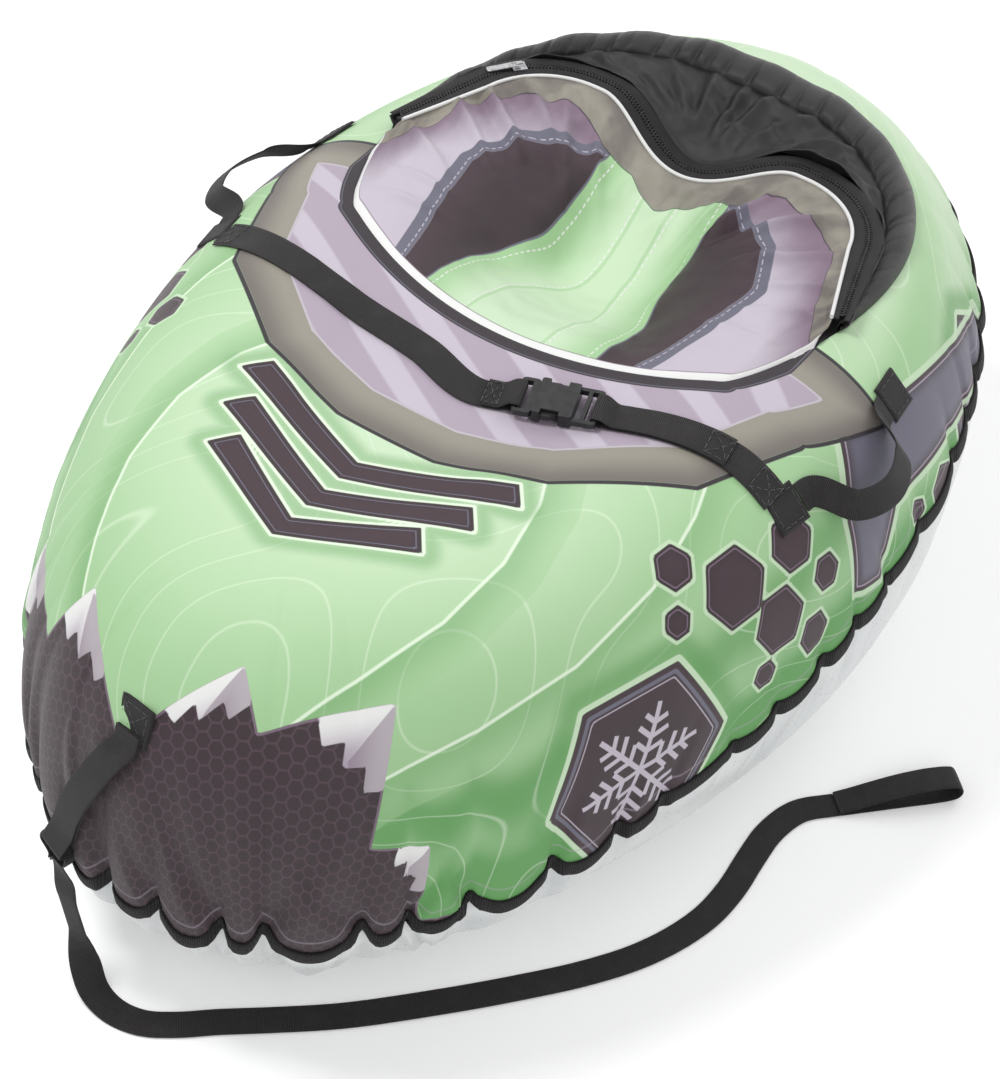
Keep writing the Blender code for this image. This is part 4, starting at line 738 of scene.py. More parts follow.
def inside_polygon(flat, corners):
    """Distance to a polygon's edge, positive inside it."""
    corners = np.array(corners, float)
    after = np.roll(corners, -1, axis=0)
    shape = flat.shape[:-1]
    p = flat.reshape(-1, 1, 2)
    edge = (after - corners)[None]
    rel = p - corners[None]
    share = np.clip((rel * edge).sum(-1) / np.maximum((edge**2).sum(-1), 1e-12), 0, 1)
    distance = np.linalg.norm(rel - edge * share[..., None], axis=-1).min(axis=1)
    above = (corners[None, :, 1] > p[..., 1]) != (after[None, :, 1] > p[..., 1])
    slope = edge[..., 0] / np.where(np.abs(edge[..., 1]) < 1e-12, 1e-12, edge[..., 1])
    crossing = above & (p[..., 0] < rel[..., 1] * slope + corners[None, :, 0])
    within = crossing.sum(axis=1) % 2 == 1
    return np.where(within, distance, -distance).reshape(shape)


def mirrored(flat):
    """The print folded over its middle line."""
    return coords(np.abs(flat[..., 0]), flat[..., 1])


def hexagon(centre, radius, lean=0.0):
    turns = [lean + math.pi / 3 * i for i in range(6)]
    return [(centre[0] + radius * math.cos(a), centre[1] + radius * math.sin(a)) for a in turns]


# Materials


class Nodes:
    """Short ways to add shader nodes to one material."""

    def __init__(self, name):
        self.material = bpy.data.materials.new(name)
        self.material.use_nodes = True
        self.tree = self.material.node_tree
        self.shader = self.tree.nodes["Principled BSDF"]
        self.values = {}

    def node(self, kind, **settings):
        made = self.tree.nodes.new("ShaderNode" + kind)
        for key, value in settings.items():
            setattr(made, key, value)
        return made

    def join(self, output, target):
        self.tree.links.new(output, target)

    def put(self, value, target):
        if isinstance(value, bpy.types.NodeSocket):
            self.join(value, target)
        else:
            target.default_value = value

    def attribute(self, name):
        if name not in self.values:
            self.values[name] = self.node("Attribute", attribute_name=name).outputs["Fac"]
        return self.values[name]

    def band(self, value, low, high, soft):
        """1 where the value lies between two levels, with soft edges. No upper level: all above the lower."""
        rising = self.between(value, low - soft, low + soft)
        if high is None:
            return rising
        return self.maths("MULTIPLY", rising, self.between(value, high - soft, high + soft, 1.0, 0.0))

    def dashed(self, share, along, pitch):
        """A line's share broken into dashes by the length along it."""
        place = self.maths("PINGPONG", along, pitch / 2)
        return self.maths("MULTIPLY", share, self.between(place, 0.17 * pitch, 0.21 * pitch))

    def flat_parts(self, scale=(1, 1, 1)):
        """The two lengths of the flat map."""
        split = self.node("SeparateXYZ")
        self.join(self.flat(scale), split.inputs[0])
        return split.outputs["X"], split.outputs["Y"]

    def flat(self, scale=(1, 1, 1)):
        place = self.node("UVMap", uv_map="flat")
        mapping = self.node("Mapping")
        mapping.inputs["Scale"].default_value = scale
        self.join(place.outputs["UV"], mapping.inputs["Vector"])
        return mapping.outputs["Vector"]

    def body(self):
        return self.node("TexCoord").outputs["Object"]

    def maths(self, operation, first, second=0.0):
        made = self.node("Math", operation=operation)
        self.put(first, made.inputs[0])
        self.put(second, made.inputs[1])
        return made.outputs[0]

    def between(self, value, low, high, to_low=0.0, to_high=1.0, smooth=True):
        made = self.node("MapRange", interpolation_type="SMOOTHSTEP" if smooth else "LINEAR")
        self.put(value, made.inputs["Value"])
        made.inputs["From Min"].default_value = low
        made.inputs["From Max"].default_value = high
        made.inputs["To Min"].default_value = to_low
        made.inputs["To Max"].default_value = to_high
        return made.outputs["Result"]

    def spread(self, noise_value, low, high):
        """A level that follows the middle of a noise, between two values."""
        return self.between(noise_value, 0.3, 0.7, low, high, smooth=False)

    def mix(self, share, first, second, blend="MIX"):
        made = self.node("Mix", data_type="RGBA", blend_type=blend)
        self.put(share, made.inputs["Factor"])
        self.put(first, made.inputs[6])
        self.put(second, made.inputs[7])
        return made.outputs[2]

    def noise(self, vector, scale, detail=2.0):
        made = self.node("TexNoise")
        self.join(vector, made.inputs["Vector"])
        made.inputs["Scale"].default_value = scale
        made.inputs["Detail"].default_value = detail
        return made.outputs["Fac"]

    def ribs(self, vector, pitch, direction="Y"):
        """Even bands that lie that far apart on a map in metres."""
        return self.wave(vector, math.pi / 10 / pitch, direction)

    def wave(self, vector, scale, direction):
        made = self.node("TexWave", wave_type="BANDS", bands_direction=direction, wave_profile="SIN")
        self.join(vector, made.inputs["Vector"])
        made.inputs["Scale"].default_value = scale
        return made.outputs["Fac"]

    def add(self, first, second, share):
        """The first value, and a share of the second."""
        return self.maths("ADD", first, self.maths("MULTIPLY", second, share))

    def bump(self, height, distance):
        made = self.node("Bump")
        self.join(height, made.inputs["Height"])
        made.inputs["Distance"].default_value = distance
        made.inputs["Strength"].default_value = 1.0
        return made.outputs["Normal"]

    def finish(self, colour, roughness, normal=None, **constants):
        self.put(colour, self.shader.inputs["Base Color"])
        self.put(roughness, self.shader.inputs["Roughness"])
        if normal:
            self.join(normal, self.shader.inputs["Normal"])
        for key, value in constants.items():
            self.shader.inputs[key.replace("_", " ")].default_value = value
        return self.material


def weave(nodes, pitch, depth):
    """Plain weave: two sets of threads that cross, with some unevenness."""
    flat = nodes.flat()
    threads = nodes.maths("MULTIPLY", nodes.ribs(flat, pitch, "X"), nodes.ribs(flat, pitch, "Y"))
    uneven = nodes.noise(flat, 0.4 / pitch, 3.0)
    return nodes.bump(nodes.add(threads, uneven, 0.8), depth), threads, uneven


def print_material(name, ground, steps):
    """A printed sheet: a ground colour, and motifs laid over it in order.

    A step is (value, low, high, softness, colour, strength), where the value is a signed distance in metres
    by name or by shader nodes, and may go on with (length along the line, pitch) for dashes.
    """
    nodes = Nodes(name)
    normal, _, uneven = weave(nodes, pitch=0.0007, depth=0.00012)
    colour = ground(nodes)
    for value, low, high, soft, tint, strength, *dash in steps:
        value = value(nodes) if callable(value) else nodes.attribute(value)
        share = nodes.band(value, low, high, soft)
        if dash:
            along = dash[0](nodes) if callable(dash[0]) else nodes.attribute(dash[0])
            share = nodes.dashed(share, along, dash[1])
        if strength < 1:
            share = nodes.maths("MULTIPLY", share, strength)
        colour = nodes.mix(share, colour, tint(nodes) if callable(tint) else tint)
    grain = nodes.noise(nodes.flat(), 1400.0, 2.0)
    shade = nodes.between(grain, 0.25, 0.75, 0.95, 1.04, False)
    grey = nodes.node("CombineColor")
    for channel in grey.inputs:
        nodes.join(shade, channel)
    colour = nodes.mix(1.0, colour, grey.outputs[0], "MULTIPLY")
    sheen = {"Sheen_Weight": 0.06, "Sheen_Roughness": 0.4, "Specular_IOR_Level": 0.36}
    return nodes.finish(colour, nodes.spread(uneven, 0.44, 0.56), normal, **sheen)


def oxford_material():
    nodes = Nodes("oxford_fabric")
    normal, threads, uneven = weave(nodes, pitch=0.0008, depth=0.00018)
    wide = nodes.noise(nodes.body(), 9.0, 3.0)
    colour = nodes.mix(nodes.between(wide, 0.3, 0.7), OXFORD_DARK, OXFORD_LIGHT)
    colour = nodes.mix(nodes.between(threads, 0.0, 1.0, 0.0, 0.3), colour, OXFORD_THREAD)
    sheen = {"Sheen_Weight": 0.04, "Sheen_Roughness": 0.4, "Specular_IOR_Level": 0.42}
    return nodes.finish(colour, nodes.spread(uneven, 0.34, 0.46), normal, **sheen)


def webbing_material(name, pitch=0.0013):
    """Woven strap: ribs across it, fine threads along it."""
    nodes = Nodes(name)
    flat = nodes.flat()
    rib = nodes.ribs(flat, pitch)
    thread = nodes.ribs(flat, pitch * 0.62, "DIAGONAL")
    height = nodes.add(nodes.add(rib, thread, 0.45), nodes.noise(flat, 500.0, 3.0), 0.5)
    colour = nodes.mix(nodes.between(rib, 0.0, 1.0, 0.0, 0.75), WEBBING_DARK, WEBBING_LIGHT)
    worn = nodes.noise(nodes.body(), 60.0, 3.0)
    colour = nodes.mix(nodes.between(worn, 0.45, 0.8, 0.0, 0.25), colour, WEBBING_WORN)
    sheen = {"Sheen_Weight": 0.05, "Sheen_Roughness": 0.4, "Specular_IOR_Level": 0.25}
    return nodes.finish(colour, 0.6, nodes.bump(height, 0.00042), **sheen)


def binding_material():
    nodes = Nodes("binding")
    flat = nodes.flat()
    rib = nodes.ribs(flat, 0.0017)
    normal = nodes.bump(nodes.add(rib, nodes.noise(flat, 350.0, 4.0), 1.2), 0.0007)
    colour = nodes.mix(nodes.between(rib, 0.0, 1.0, 0.0, 0.5), BINDING_DARK, BINDING_LIGHT)
    sheen = {"Sheen_Weight": 0.06, "Sheen_Roughness": 0.5, "Specular_IOR_Level": 0.2}
    return nodes.finish(colour, 0.72, normal, **sheen)


def piping_material():
    nodes = Nodes("piping")
    rib = nodes.ribs(nodes.flat(), 0.0010)
    colour = nodes.mix(nodes.between(rib, 0.0, 1.0, 0.0, 0.3), OFF_WHITE, METAL_LIGHT)
    return nodes.finish(colour, 0.55, nodes.bump(rib, 0.00018), Sheen_Weight=0.15)


def base_material():
    """Smooth coated sheet, with a slight orange peel and long faint scuffs."""
    nodes = Nodes("base_sheet")
    orange = nodes.noise(nodes.flat(), 260.0, 2.0)
    wide = nodes.noise(nodes.body(), 14.0, 3.0)
    scuffs = nodes.noise(nodes.flat((9, 160, 1)), 1.0, 4.0)
    height = nodes.add(nodes.maths("MULTIPLY", orange, 0.3), wide, 2.0)
    colour = nodes.mix(nodes.between(wide, 0.3, 0.7), BASE_GREY, BASE_DEEP)
    colour = nodes.mix(nodes.between(scuffs, 0.6, 0.8, 0.0, 0.25), colour, BASE_SCUFF)
    coat = {"Specular_IOR_Level": 0.5, "Coat_Weight": 0.15, "Coat_Roughness": 0.3}
    return nodes.finish(colour, nodes.spread(orange, 0.26, 0.4), nodes.bump(height, 0.0005), **coat)


def moulded_material(name, dark, light, grain=0.00004):
    """Plastic or rubber with a fine grain and soft differences of tone."""
    nodes = Nodes(name)
    fine = nodes.noise(nodes.body(), 2200.0, 2.0)
    wide = nodes.noise(nodes.body(), 120.0, 3.0)
    colour = nodes.mix(nodes.between(wide, 0.35, 0.7), linear(*dark), linear(*light))
    return nodes.finish(colour, nodes.spread(wide, 0.3, 0.42), nodes.bump(fine, grain))


def metal_material():
    nodes = Nodes("zip_metal")
    fine = nodes.noise(nodes.body(), 1500.0, 3.0)
    wide = nodes.noise(nodes.body(), 260.0, 3.0)
    colour = nodes.mix(nodes.between(wide, 0.4, 0.75), METAL_LIGHT, METAL_DARK)
    return nodes.finish(colour, nodes.spread(wide, 0.22, 0.42), nodes.bump(fine, 0.00005), Metallic=1.0)


def thread_material():
    nodes = Nodes("thread")
    twist = nodes.wave(nodes.body(), 900.0, "DIAGONAL")
    shade = nodes.mix(nodes.between(twist, 0.0, 1.0, 0.0, 0.3), THREAD, THREAD_DARK)
    return nodes.finish(shade, 0.55, nodes.bump(twist, 0.00006), Sheen_Weight=0.2)


# The printed cover


def developed(points, start_column):
    """Running length along each row of a grid from one column, negative before it."""
    steps = np.linalg.norm(np.diff(points, axis=1), axis=-1)
    length = np.concatenate([np.zeros((points.shape[0], 1)), np.cumsum(steps, axis=1)], axis=1)
    return length - length[:, start_column : start_column + 1]


def band_edge_y(x):
    share = x / PATH_HALF_WIDTH
    return -BAND_FORWARD * (1 - share * share)


NOSE_RIDGE = [
    (-0.470, -0.215),
    (-0.430, -0.330),
    (-0.375, -0.455),
    (-0.330, -0.430),
    (-0.262, -0.512),
    (-0.205, -0.418),
    (-0.150, -0.498),
    (-0.098, -0.452),
    (-0.020, -0.560),
    (0.052, -0.455),
    (0.088, -0.490),
    (0.158, -0.408),
    (0.226, -0.508),
    (0.268, -0.470),
    (0.330, -0.530),
    (0.400, -0.440),
    (0.470, -0.215),
]
BELOW_NOSE = [(0.9, -0.3), (0.9, -1.0), (-0.9, -1.0), (-0.9, -0.3)]
PEAKS = (5, 7, 9, 11, 13, 3)
CAP_SHARE = 0.56
CELL_PITCH = 0.0130

STRIPE_END_Y = 0.045
STRIPE_TAPER = 0.30
CHEVRONS = ((-0.352, 0.100), (-0.310, 0.118), (-0.268, 0.132))
FRONT_BADGE = (0.371, -0.289, 0.088)
REAR_BADGE = (0.296, 0.262, 0.074)
# Where each pair of branches leaves a flake's arm, and how long they are, as shares of the arm
FLAKE_BRANCHES = ((0.30, 0.24), (0.52, 0.27), (0.74, 0.19))
# Outlines of motifs, from the middle out, or of one side, each to be mirrored
HOOD = [(0.118, -0.150), (0.142, -0.205), (0.153, -0.270), (0.148, -0.340), (0.128, -0.410)]
HOOD += [(0.104, -0.480), (0.096, -0.560)]
FENDER = [(0.215, -0.060), (0.238, -0.130), (0.250, -0.200), (0.246, -0.290), (0.222, -0.380)]
FENDER += [(0.186, -0.470), (0.170, -0.560)]
SWOOSH = [(0.262, 0.030), (0.335, -0.010), (0.405, -0.020), (0.400, 0.020), (0.338, 0.060)]
SWOOSH += [(0.262, 0.330), (0.225, 0.300)]
REAR_SWOOSH = [(0.0, 0.452), (0.085, 0.445), (0.180, 0.395), (0.228, 0.335), (0.262, 0.350)]
REAR_SWOOSH += [(0.180, 0.440), (0.060, 0.492), (0.0, 0.496)]
COCKPIT = [(0.045, -0.205), (0.132, -0.180), (0.222, -0.108), (0.262, -0.010), (0.268, 0.080)]
# Each hexagon's place and radius
HEXAGONS = [
    (0.300, -0.142, 0.034),
    (0.356, -0.116, 0.030),
    (0.310, -0.074, 0.025),
    (0.398, -0.082, 0.020),
    (0.356, -0.052, 0.017),
    (0.250, -0.176, 0.019),
    (0.283, -0.202, 0.014),
    (0.392, -0.146, 0.014),
    (0.354, 0.150, 0.026),
    (0.394, 0.112, 0.018),
    (0.360, 0.098, 0.013),
]


def opening_outline():
    """The seat opening on the flat print: the band's edge in front and the ring's crest behind."""
    x = np.linspace(-PATH_HALF_WIDTH, PATH_HALF_WIDTH, 41)
    front = coords(x, band_edge_y(x))
    rear = path_point(np.linspace(0.0, math.pi, 41))[1:-1, :2]
    return np.concatenate([front, rear])


def both_sides(half):
    """A polygon of a mirrored outline, its points given from the middle outwards."""
    return [(-x, y) for x, y in reversed(half)] + list(half)


def snow_cap(number, right_half):
    """Snow on one peak of the ridge: a cap with a jagged lower edge, or only its shaded half."""
    before, peak, after = np.array(NOSE_RIDGE[number - 1 : number + 2])
    left = peak + (before - peak) * CAP_SHARE
    right = peak + (after - peak) * CAP_SHARE
    low = []
    for share, jag in ((0.2, 0.013), (0.36, -0.003), (0.5, 0.013), (0.68, -0.003), (0.84, 0.013)):
        low.append(tuple(left + (right - left) * share - np.array([0.0, jag])))
    if right_half:
        return [tuple(peak), low[2], low[3], low[4], tuple(right)]
    return [tuple(peak), tuple(left)] + low + [tuple(right)]


def chevron(tip, half):
    """A chevron's outline from the place of its tip and its half width."""
    arm = [(half, tip + 0.050), (half - 0.016, tip + 0.072), (0.0, tip + 0.024)]
    return arm + [(-half + 0.016, tip + 0.072), (-half, tip + 0.050), (0.0, tip)]


def united(flat, outlines):
    """Distance inside the nearest of several outlines."""
    return np.max([inside_polygon(flat, outline) for outline in outlines], axis=0)


def cover_layers(flat, hem):
    """Motifs of the printed cover as signed distances on its points."""
    folded = mirrored(flat)
    beyond_stripe = STRIPE_TAPER * np.maximum(flat[..., 1] - STRIPE_END_Y, 0.0)
    badges = [hexagon((x, y), radius * 1.08, math.radians(12)) for x, y, radius in (FRONT_BADGE, REAR_BADGE)]
    cells = [hexagon((x, y), radius, math.radians(20)) for x, y, radius in HEXAGONS]
    return {
        "hem": hem,
        "nose": inside_polygon(flat, NOSE_RIDGE + BELOW_NOSE),
        "chevron": united(flat, [chevron(tip, half) for tip, half in CHEVRONS]),
        "hood": inside_polygon(flat, both_sides(HOOD)),
        "fender": inside_polygon(flat, both_sides(FENDER)),
        "cockpit": inside_polygon(flat, both_sides(COCKPIT)),
        "stripe": inside_polygon(flat, opening_outline()) - beyond_stripe,
        "badge": united(folded, badges),
        "swoosh": np.maximum(inside_polygon(folded, SWOOSH), inside_polygon(flat, both_sides(REAR_SWOOSH))),
        "cells": united(folded, cells),
        "caps": united(flat, [snow_cap(number, False) for number in PEAKS]),
        "cap_shades": united(flat, [snow_cap(number, True) for number in PEAKS]),
        "tone": cover_tone(flat, hem),
    }


def cover_ground(nodes):
    """Green that deepens to the sides, with fine contour lines like those of a mountain map."""
    tone = nodes.attribute("tone")
    colour = nodes.mix(nodes.between(tone, 0.0, 0.55), LIGHT_GREEN, MID_GREEN)
    colour = nodes.mix(nodes.between(tone, 0.55, 1.0), colour, DEEP_GREEN)
    wide = nodes.maths("MULTIPLY", nodes.noise(nodes.flat(), 4.2, 0.0), 15.0)
    line = nodes.between(nodes.maths("PINGPONG", wide, 0.5), 0.0, 0.045, 0.34, 0.0)
    return nodes.mix(line, colour, BEVEL_GREEN)


def honeycomb(nodes):
    """Dark ground with a faint pattern of hexagonal cells."""
    across, along = nodes.flat_parts((1 / CELL_PITCH, 1 / CELL_PITCH, 1))
    rise = math.sqrt(3)
    found = []
    for shift in (0.0, 0.5):
        x = nodes.maths("ADD", across, shift + 100)
        y = nodes.maths("ADD", along, shift * rise + 100 * rise)
        x = nodes.maths("ABSOLUTE", nodes.maths("SUBTRACT", nodes.maths("MODULO", x, 1.0), 0.5))
        y = nodes.maths("ABSOLUTE", nodes.maths("SUBTRACT", nodes.maths("MODULO", y, rise), rise / 2))
        slant = nodes.add(nodes.maths("MULTIPLY", x, 0.5), y, rise / 2)
        found.append(nodes.maths("MAXIMUM", x, slant))
    inner = nodes.maths("MINIMUM", found[0], found[1])
    return nodes.mix(nodes.between(inner, 0.40, 0.47), NOSE_DARK, NOSE_LIGHT)


def snow_fade(nodes):
    """White at the top of a peak, falling to lilac."""
    return nodes.mix(nodes.between(nodes.attribute("nose"), 0.004, 0.036), OFF_WHITE, LILAC)


def edge_fade(value, inner, outer, width):
    """A colour that runs from one to another over a width inside a motif's edge."""
    return lambda nodes: nodes.mix(nodes.between(nodes.attribute(value), 0.0, width), outer, inner)


def edge_fade_out(value, width):
    """Deep green just outside a motif's edge, fading to the paler print."""
    return lambda nodes: nodes.mix(nodes.between(nodes.attribute(value), -width, 0.0), MID_GREEN, DEEP_GREEN)


def cockpit_glass(nodes):
    """Lilac with soft slanting bands of light."""
    across, along = nodes.flat_parts()
    band = nodes.maths("SINE", nodes.maths("MULTIPLY", nodes.add(across, along, 1.7), 62.0))
    return nodes.mix(nodes.between(band, 0.1, 0.5), LILAC, PALE_LILAC)


def flake(centre, radius):
    """A six-armed flake on the flat map, mirrored left and right: its distance from the arms."""

    def value(nodes):
        across, ahead = nodes.flat_parts()
        x = nodes.maths("SUBTRACT", nodes.maths("ABSOLUTE", across), centre[0])
        y = nodes.maths("SUBTRACT", ahead, centre[1])
        square = nodes.maths("ADD", nodes.maths("POWER", x, 2.0), nodes.maths("POWER", y, 2.0))
        reach = nodes.maths("SQRT", square)
        turn = nodes.maths("PINGPONG", nodes.maths("ADD", nodes.maths("ARCTAN2", y, x), 7.0), math.pi / 6)
        along = nodes.maths("MULTIPLY", reach, nodes.maths("COSINE", turn))
        off = nodes.maths("MULTIPLY", reach, nodes.maths("SINE", turn))
        best = nodes.maths("MAXIMUM", off, nodes.maths("SUBTRACT", along, radius))
        cosine, sine = math.cos(math.pi / 3), math.sin(math.pi / 3)
        for root, length in FLAKE_BRANCHES:
            beyond = nodes.maths("SUBTRACT", along, root * radius)
            run = nodes.add(nodes.maths("MULTIPLY", beyond, cosine), off, sine)
            aside = nodes.maths("MULTIPLY", off, cosine)
            side = nodes.maths("SUBTRACT", nodes.maths("MULTIPLY", beyond, sine), aside)
            side = nodes.maths("ABSOLUTE", side)
            branch = nodes.maths("MAXIMUM", side, nodes.maths("SUBTRACT", run, length * radius))
            best = nodes.maths("MINIMUM", best, branch)
        return best

    return value


def calm_share(points):
    """0 under the sewn tow patch, where the cloth lies flat, rising to 1 round it."""
    low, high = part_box("tow_patch")
    middle = (np.array(low) + np.array(high)) / 2
    return smooth_step(np.linalg.norm(points - middle, axis=-1), *PATCH_CALM)


def cover_side():
    """The cover on the ring's outer side: angles, points, heights over the hem and the flat map."""
    turns, _, _ = even_turns(COVER_TURNS)
    shares = np.linspace(0, 1, SIDE_COLUMNS) ** SIDE_ROW_SPREAD
    low = hem_level(turns)[:, None]
    high = top_level(turns)[:, None]
    side = ring_point(turns[:, None], low + (high - low) * shares[None, :])
    height = developed(side, 0)
    normals = grid_normals(side, True)
    side = side + normals * (GATHERS.bulge(turns[:, None], height) * calm_share(side))[..., None]
    length = -developed(side, SIDE_COLUMNS - 1)
    flat = path_point(turns)[:, None, :2] + path_normal(turns)[:, None, :2] * length[..., None]
    return turns, side, height, flat


def cover_deck(front, side, deck_field):
    """The cover from the ring's crest in over the hole, as far as the stripe."""
    start = side[front, SIDE_COLUMNS - 1]
    along = np.linspace(0, 1, DECK_COLUMNS)
    x = np.repeat(start[:, None, 0], DECK_COLUMNS, axis=1)
    y = start[:, None, 1] + (band_edge_y(start[:, 0]) - start[:, 1])[:, None] * along
    fade = smooth_step(y - start[:, None, 1], 0.0, DECK_FADE)
    return coords(x, y, RING_HEIGHT * (1 - fade) + deck_field.at(x, y) * fade)


def cover_faces(front):
    """Faces of the side and of the deck. The deck starts from the side's own points along the crest."""
    first = COVER_TURNS * SIDE_COLUMNS
    side = grid_faces(COVER_TURNS, SIDE_COLUMNS, True)
    deck = grid_faces(len(front), DECK_COLUMNS, False, first)
    rows = (deck - first) // DECK_COLUMNS
    on_crest = (deck - first) % DECK_COLUMNS == 0
    deck = np.where(on_crest, front[rows] * SIDE_COLUMNS + SIDE_COLUMNS - 1, deck)
    return np.concatenate([side, deck])


def printed_cover(deck_field):
    turns, side, height, flat_side = cover_side()
    front = np.where(np.sin(turns) < -LAYER_GAP)[0]
    deck = cover_deck(front, side, deck_field)
    points = np.concatenate([side.reshape(-1, 3), deck.reshape(-1, 3)])
    flat = np.concatenate([flat_side.reshape(-1, 2), deck[..., :2].reshape(-1, 2)])
    hem = np.concatenate([height.ravel(), np.full(deck.shape[0] * DECK_COLUMNS, FAR_FROM_HEM)])
    finish = print_material("printed_fabric", cover_ground, COVER_PRINT)
    made = mesh_object("printed_cover", points, cover_faces(front), flat, cover_layers(flat, hem), finish)
    return made, side


def cover_tone(flat, hem):
    """0 where the green print is lightest, 1 where it is deepest."""
    away = np.abs(flat[:, 0]) / 0.36
    nose = smooth_step(-flat[:, 1], 0.22, 0.56)
    rear = smooth_step(flat[:, 1], 0.25, 0.6)
    tone = 0.04 + 0.74 * away**1.7 + 0.46 * nose - 0.20 * rear
    streak = np.sin(hem * 60 + 0.6) * smooth_step(0.20 - hem, 0.0, 0.08)
    return np.clip(tone + 0.16 * streak, 0, 1)


COVER_PRINT = [
    ("fender", -0.034, 0.0, 0.0010, edge_fade_out("fender", 0.034), 0.42),
    ("fender", 0.0, 0.0026, 0.0008, BEVEL_GREEN, 0.85),
    ("hood", -0.030, 0.0, 0.0010, edge_fade_out("hood", 0.030), 0.50),
    ("hood", 0.0, 0.0026, 0.0008, BEVEL_GREEN, 0.85),
    ("badge", -0.022, 0.0, 0.010, DEEP_GREEN, 0.7),
    ("badge", -0.0050, 0.0, 0.0006, LIGHT_GREEN, 1.0),
    ("badge", 0.0, None, 0.0005, edge_fade("badge", NOSE_DARK, AUBERGINE, 0.05), 1.0),
    ("badge", 0.0050, 0.0085, 0.0005, SLATE, 1.0),
    ("badge", 0.0105, 0.0117, 0.0004, PALE_LILAC, 0.8),
    (flake(FRONT_BADGE, 0.060), -1.0, 0.0023, 0.0004, PALE_LILAC, 1.0),
    (flake(REAR_BADGE, 0.050), -1.0, 0.0020, 0.0004, PALE_LILAC, 1.0),
    ("swoosh", -0.0060, 0.0, 0.0006, LIGHT_GREEN, 0.9),
    ("swoosh", 0.0, None, 0.0006, edge_fade("swoosh", SLATE, AUBERGINE, 0.016), 1.0),
    ("swoosh", 0.0040, 0.0054, 0.0004, LILAC, 0.9),
    ("cells", -0.0030, 0.0, 0.0005, LIGHT_GREEN, 0.9),
    ("cells", 0.0, None, 0.0005, edge_fade("cells", AUBERGINE, NOSE_DARK, 0.012), 1.0),
    ("cells", 0.0024, 0.0034, 0.0003, DEEP_LILAC, 0.8),
    ("chevron", -0.014, 0.0, 0.0070, DEEP_GREEN, 0.5),
    ("chevron", -0.0028, 0.0, 0.0005, BEVEL_GREEN, 0.9),
    ("chevron", 0.0, None, 0.0005, edge_fade("chevron", AUBERGINE, NOSE_DARK, 0.009), 1.0),
    ("chevron", 0.0036, 0.0046, 0.0003, SLATE, 0.9),
    ("cockpit", -0.0040, 0.0, 0.0006, LINE_DARK, 1.0),
    ("cockpit", 0.0, None, 0.0005, edge_fade("cockpit", TAUPE, DEEP_TAUPE, 0.030), 1.0),
    ("cockpit", 0.0380, None, 0.0006, cockpit_glass, 1.0),
    ("cockpit", 0.0360, 0.0380, 0.0005, PALE_LILAC, 0.9),
    ("nose", 0.0, None, 0.0006, honeycomb, 1.0),
    ("nose", 0.0, 0.0020, 0.0005, DEEP_LILAC, 0.8),
    ("caps", 0.0, None, 0.0006, snow_fade, 1.0),
    ("cap_shades", 0.0, None, 0.0006, DEEP_LILAC, 0.62),
    ("hem", 0.0200, 0.0222, 0.0005, LILAC, 0.35),
    ("stripe", -0.0135, None, 0.0005, LINE_DARK, 1.0),
    ("stripe", -0.0118, -0.0108, 0.0003, SLATE, 0.8),
]


# Lines across the seat opening


def zip_dip(x):
    inside = np.abs(x) < ZIP_DIP_HALF_WIDTH
    return np.where(inside, (1 + np.cos(math.pi * x / ZIP_DIP_HALF_WIDTH)) / 2, 0.0)


def zip_point(share):
    """Points on the zip in plan, share 0 at the right end and 1 at the left.

    Each half is a straight run, an arc round the corner and a line to the middle, with a dip there.
    """
    share = np.asarray(share, float)
    left = share > 0.5
    reach = np.where(left, 1 - share, share)
    radius, corner_x, corner_y = ZIP_CORNER_RADIUS, ZIP_CORNER_X, ZIP_CORNER_Y
    dx, dy = ZIP_END_X - corner_x, ZIP_END_Y - corner_y
    start = math.atan2(dy, dx) + math.acos(radius / math.hypot(dx, dy))
    touch_x = corner_x + radius * math.cos(start)
    touch_y = corner_y + radius * math.sin(start)
    run = math.hypot(ZIP_END_X - touch_x, ZIP_END_Y - touch_y)
    arc = radius * (math.pi / 2 - start)
    length = (run + arc + corner_x) * reach * 2
    angle = start + (length - run) / radius
    on_run, on_arc = length < run, length < run + arc
    x = np.where(on_arc, corner_x + radius * np.cos(angle), corner_x + run + arc - length)
    y = np.where(on_arc, corner_y + radius * np.sin(angle), corner_y + radius)
    x = np.where(on_run, ZIP_END_X + (touch_x - ZIP_END_X) * length / run, x)
    y = np.where(on_run, ZIP_END_Y + (touch_y - ZIP_END_Y) * length / run, y)
    y = y - ZIP_DIP_FORWARD * zip_dip(x)
    return coords(np.where(left, -x, x), y, 0.0)


def zip_height(x):
    return ZIP_HEIGHT - ZIP_DIP * zip_dip(x)


def zip_side(share):
    """The way square to the zip in plan, towards the rear."""
    step = 0.002
    way = zip_point(np.minimum(share + step, 1)) - zip_point(np.maximum(share - step, 0))
    return unit(coords(way[..., 1], -way[..., 0], 0.0))


def rear_turns(share):
    """Angles along the rim, from right to left behind the zip."""
    return VEE_ANGLE + (math.pi - 2 * VEE_ANGLE) / 30 * (28 * share + 1)


def near_end(share):
    """Grows from 0 at the zip's ends to 1 along its middle."""
    return np.minimum(1.0, np.minimum(share, 1 - share) * 7)


def zip_half_width(share):
    return ZIP_END_HALF_WIDTH + (ZIP_HALF_WIDTH - ZIP_END_HALF_WIDTH) * near_end(share)


def rim_width(share):
    return RIM_END_WIDTH + (RIM_WIDTH - RIM_END_WIDTH) * near_end(share)


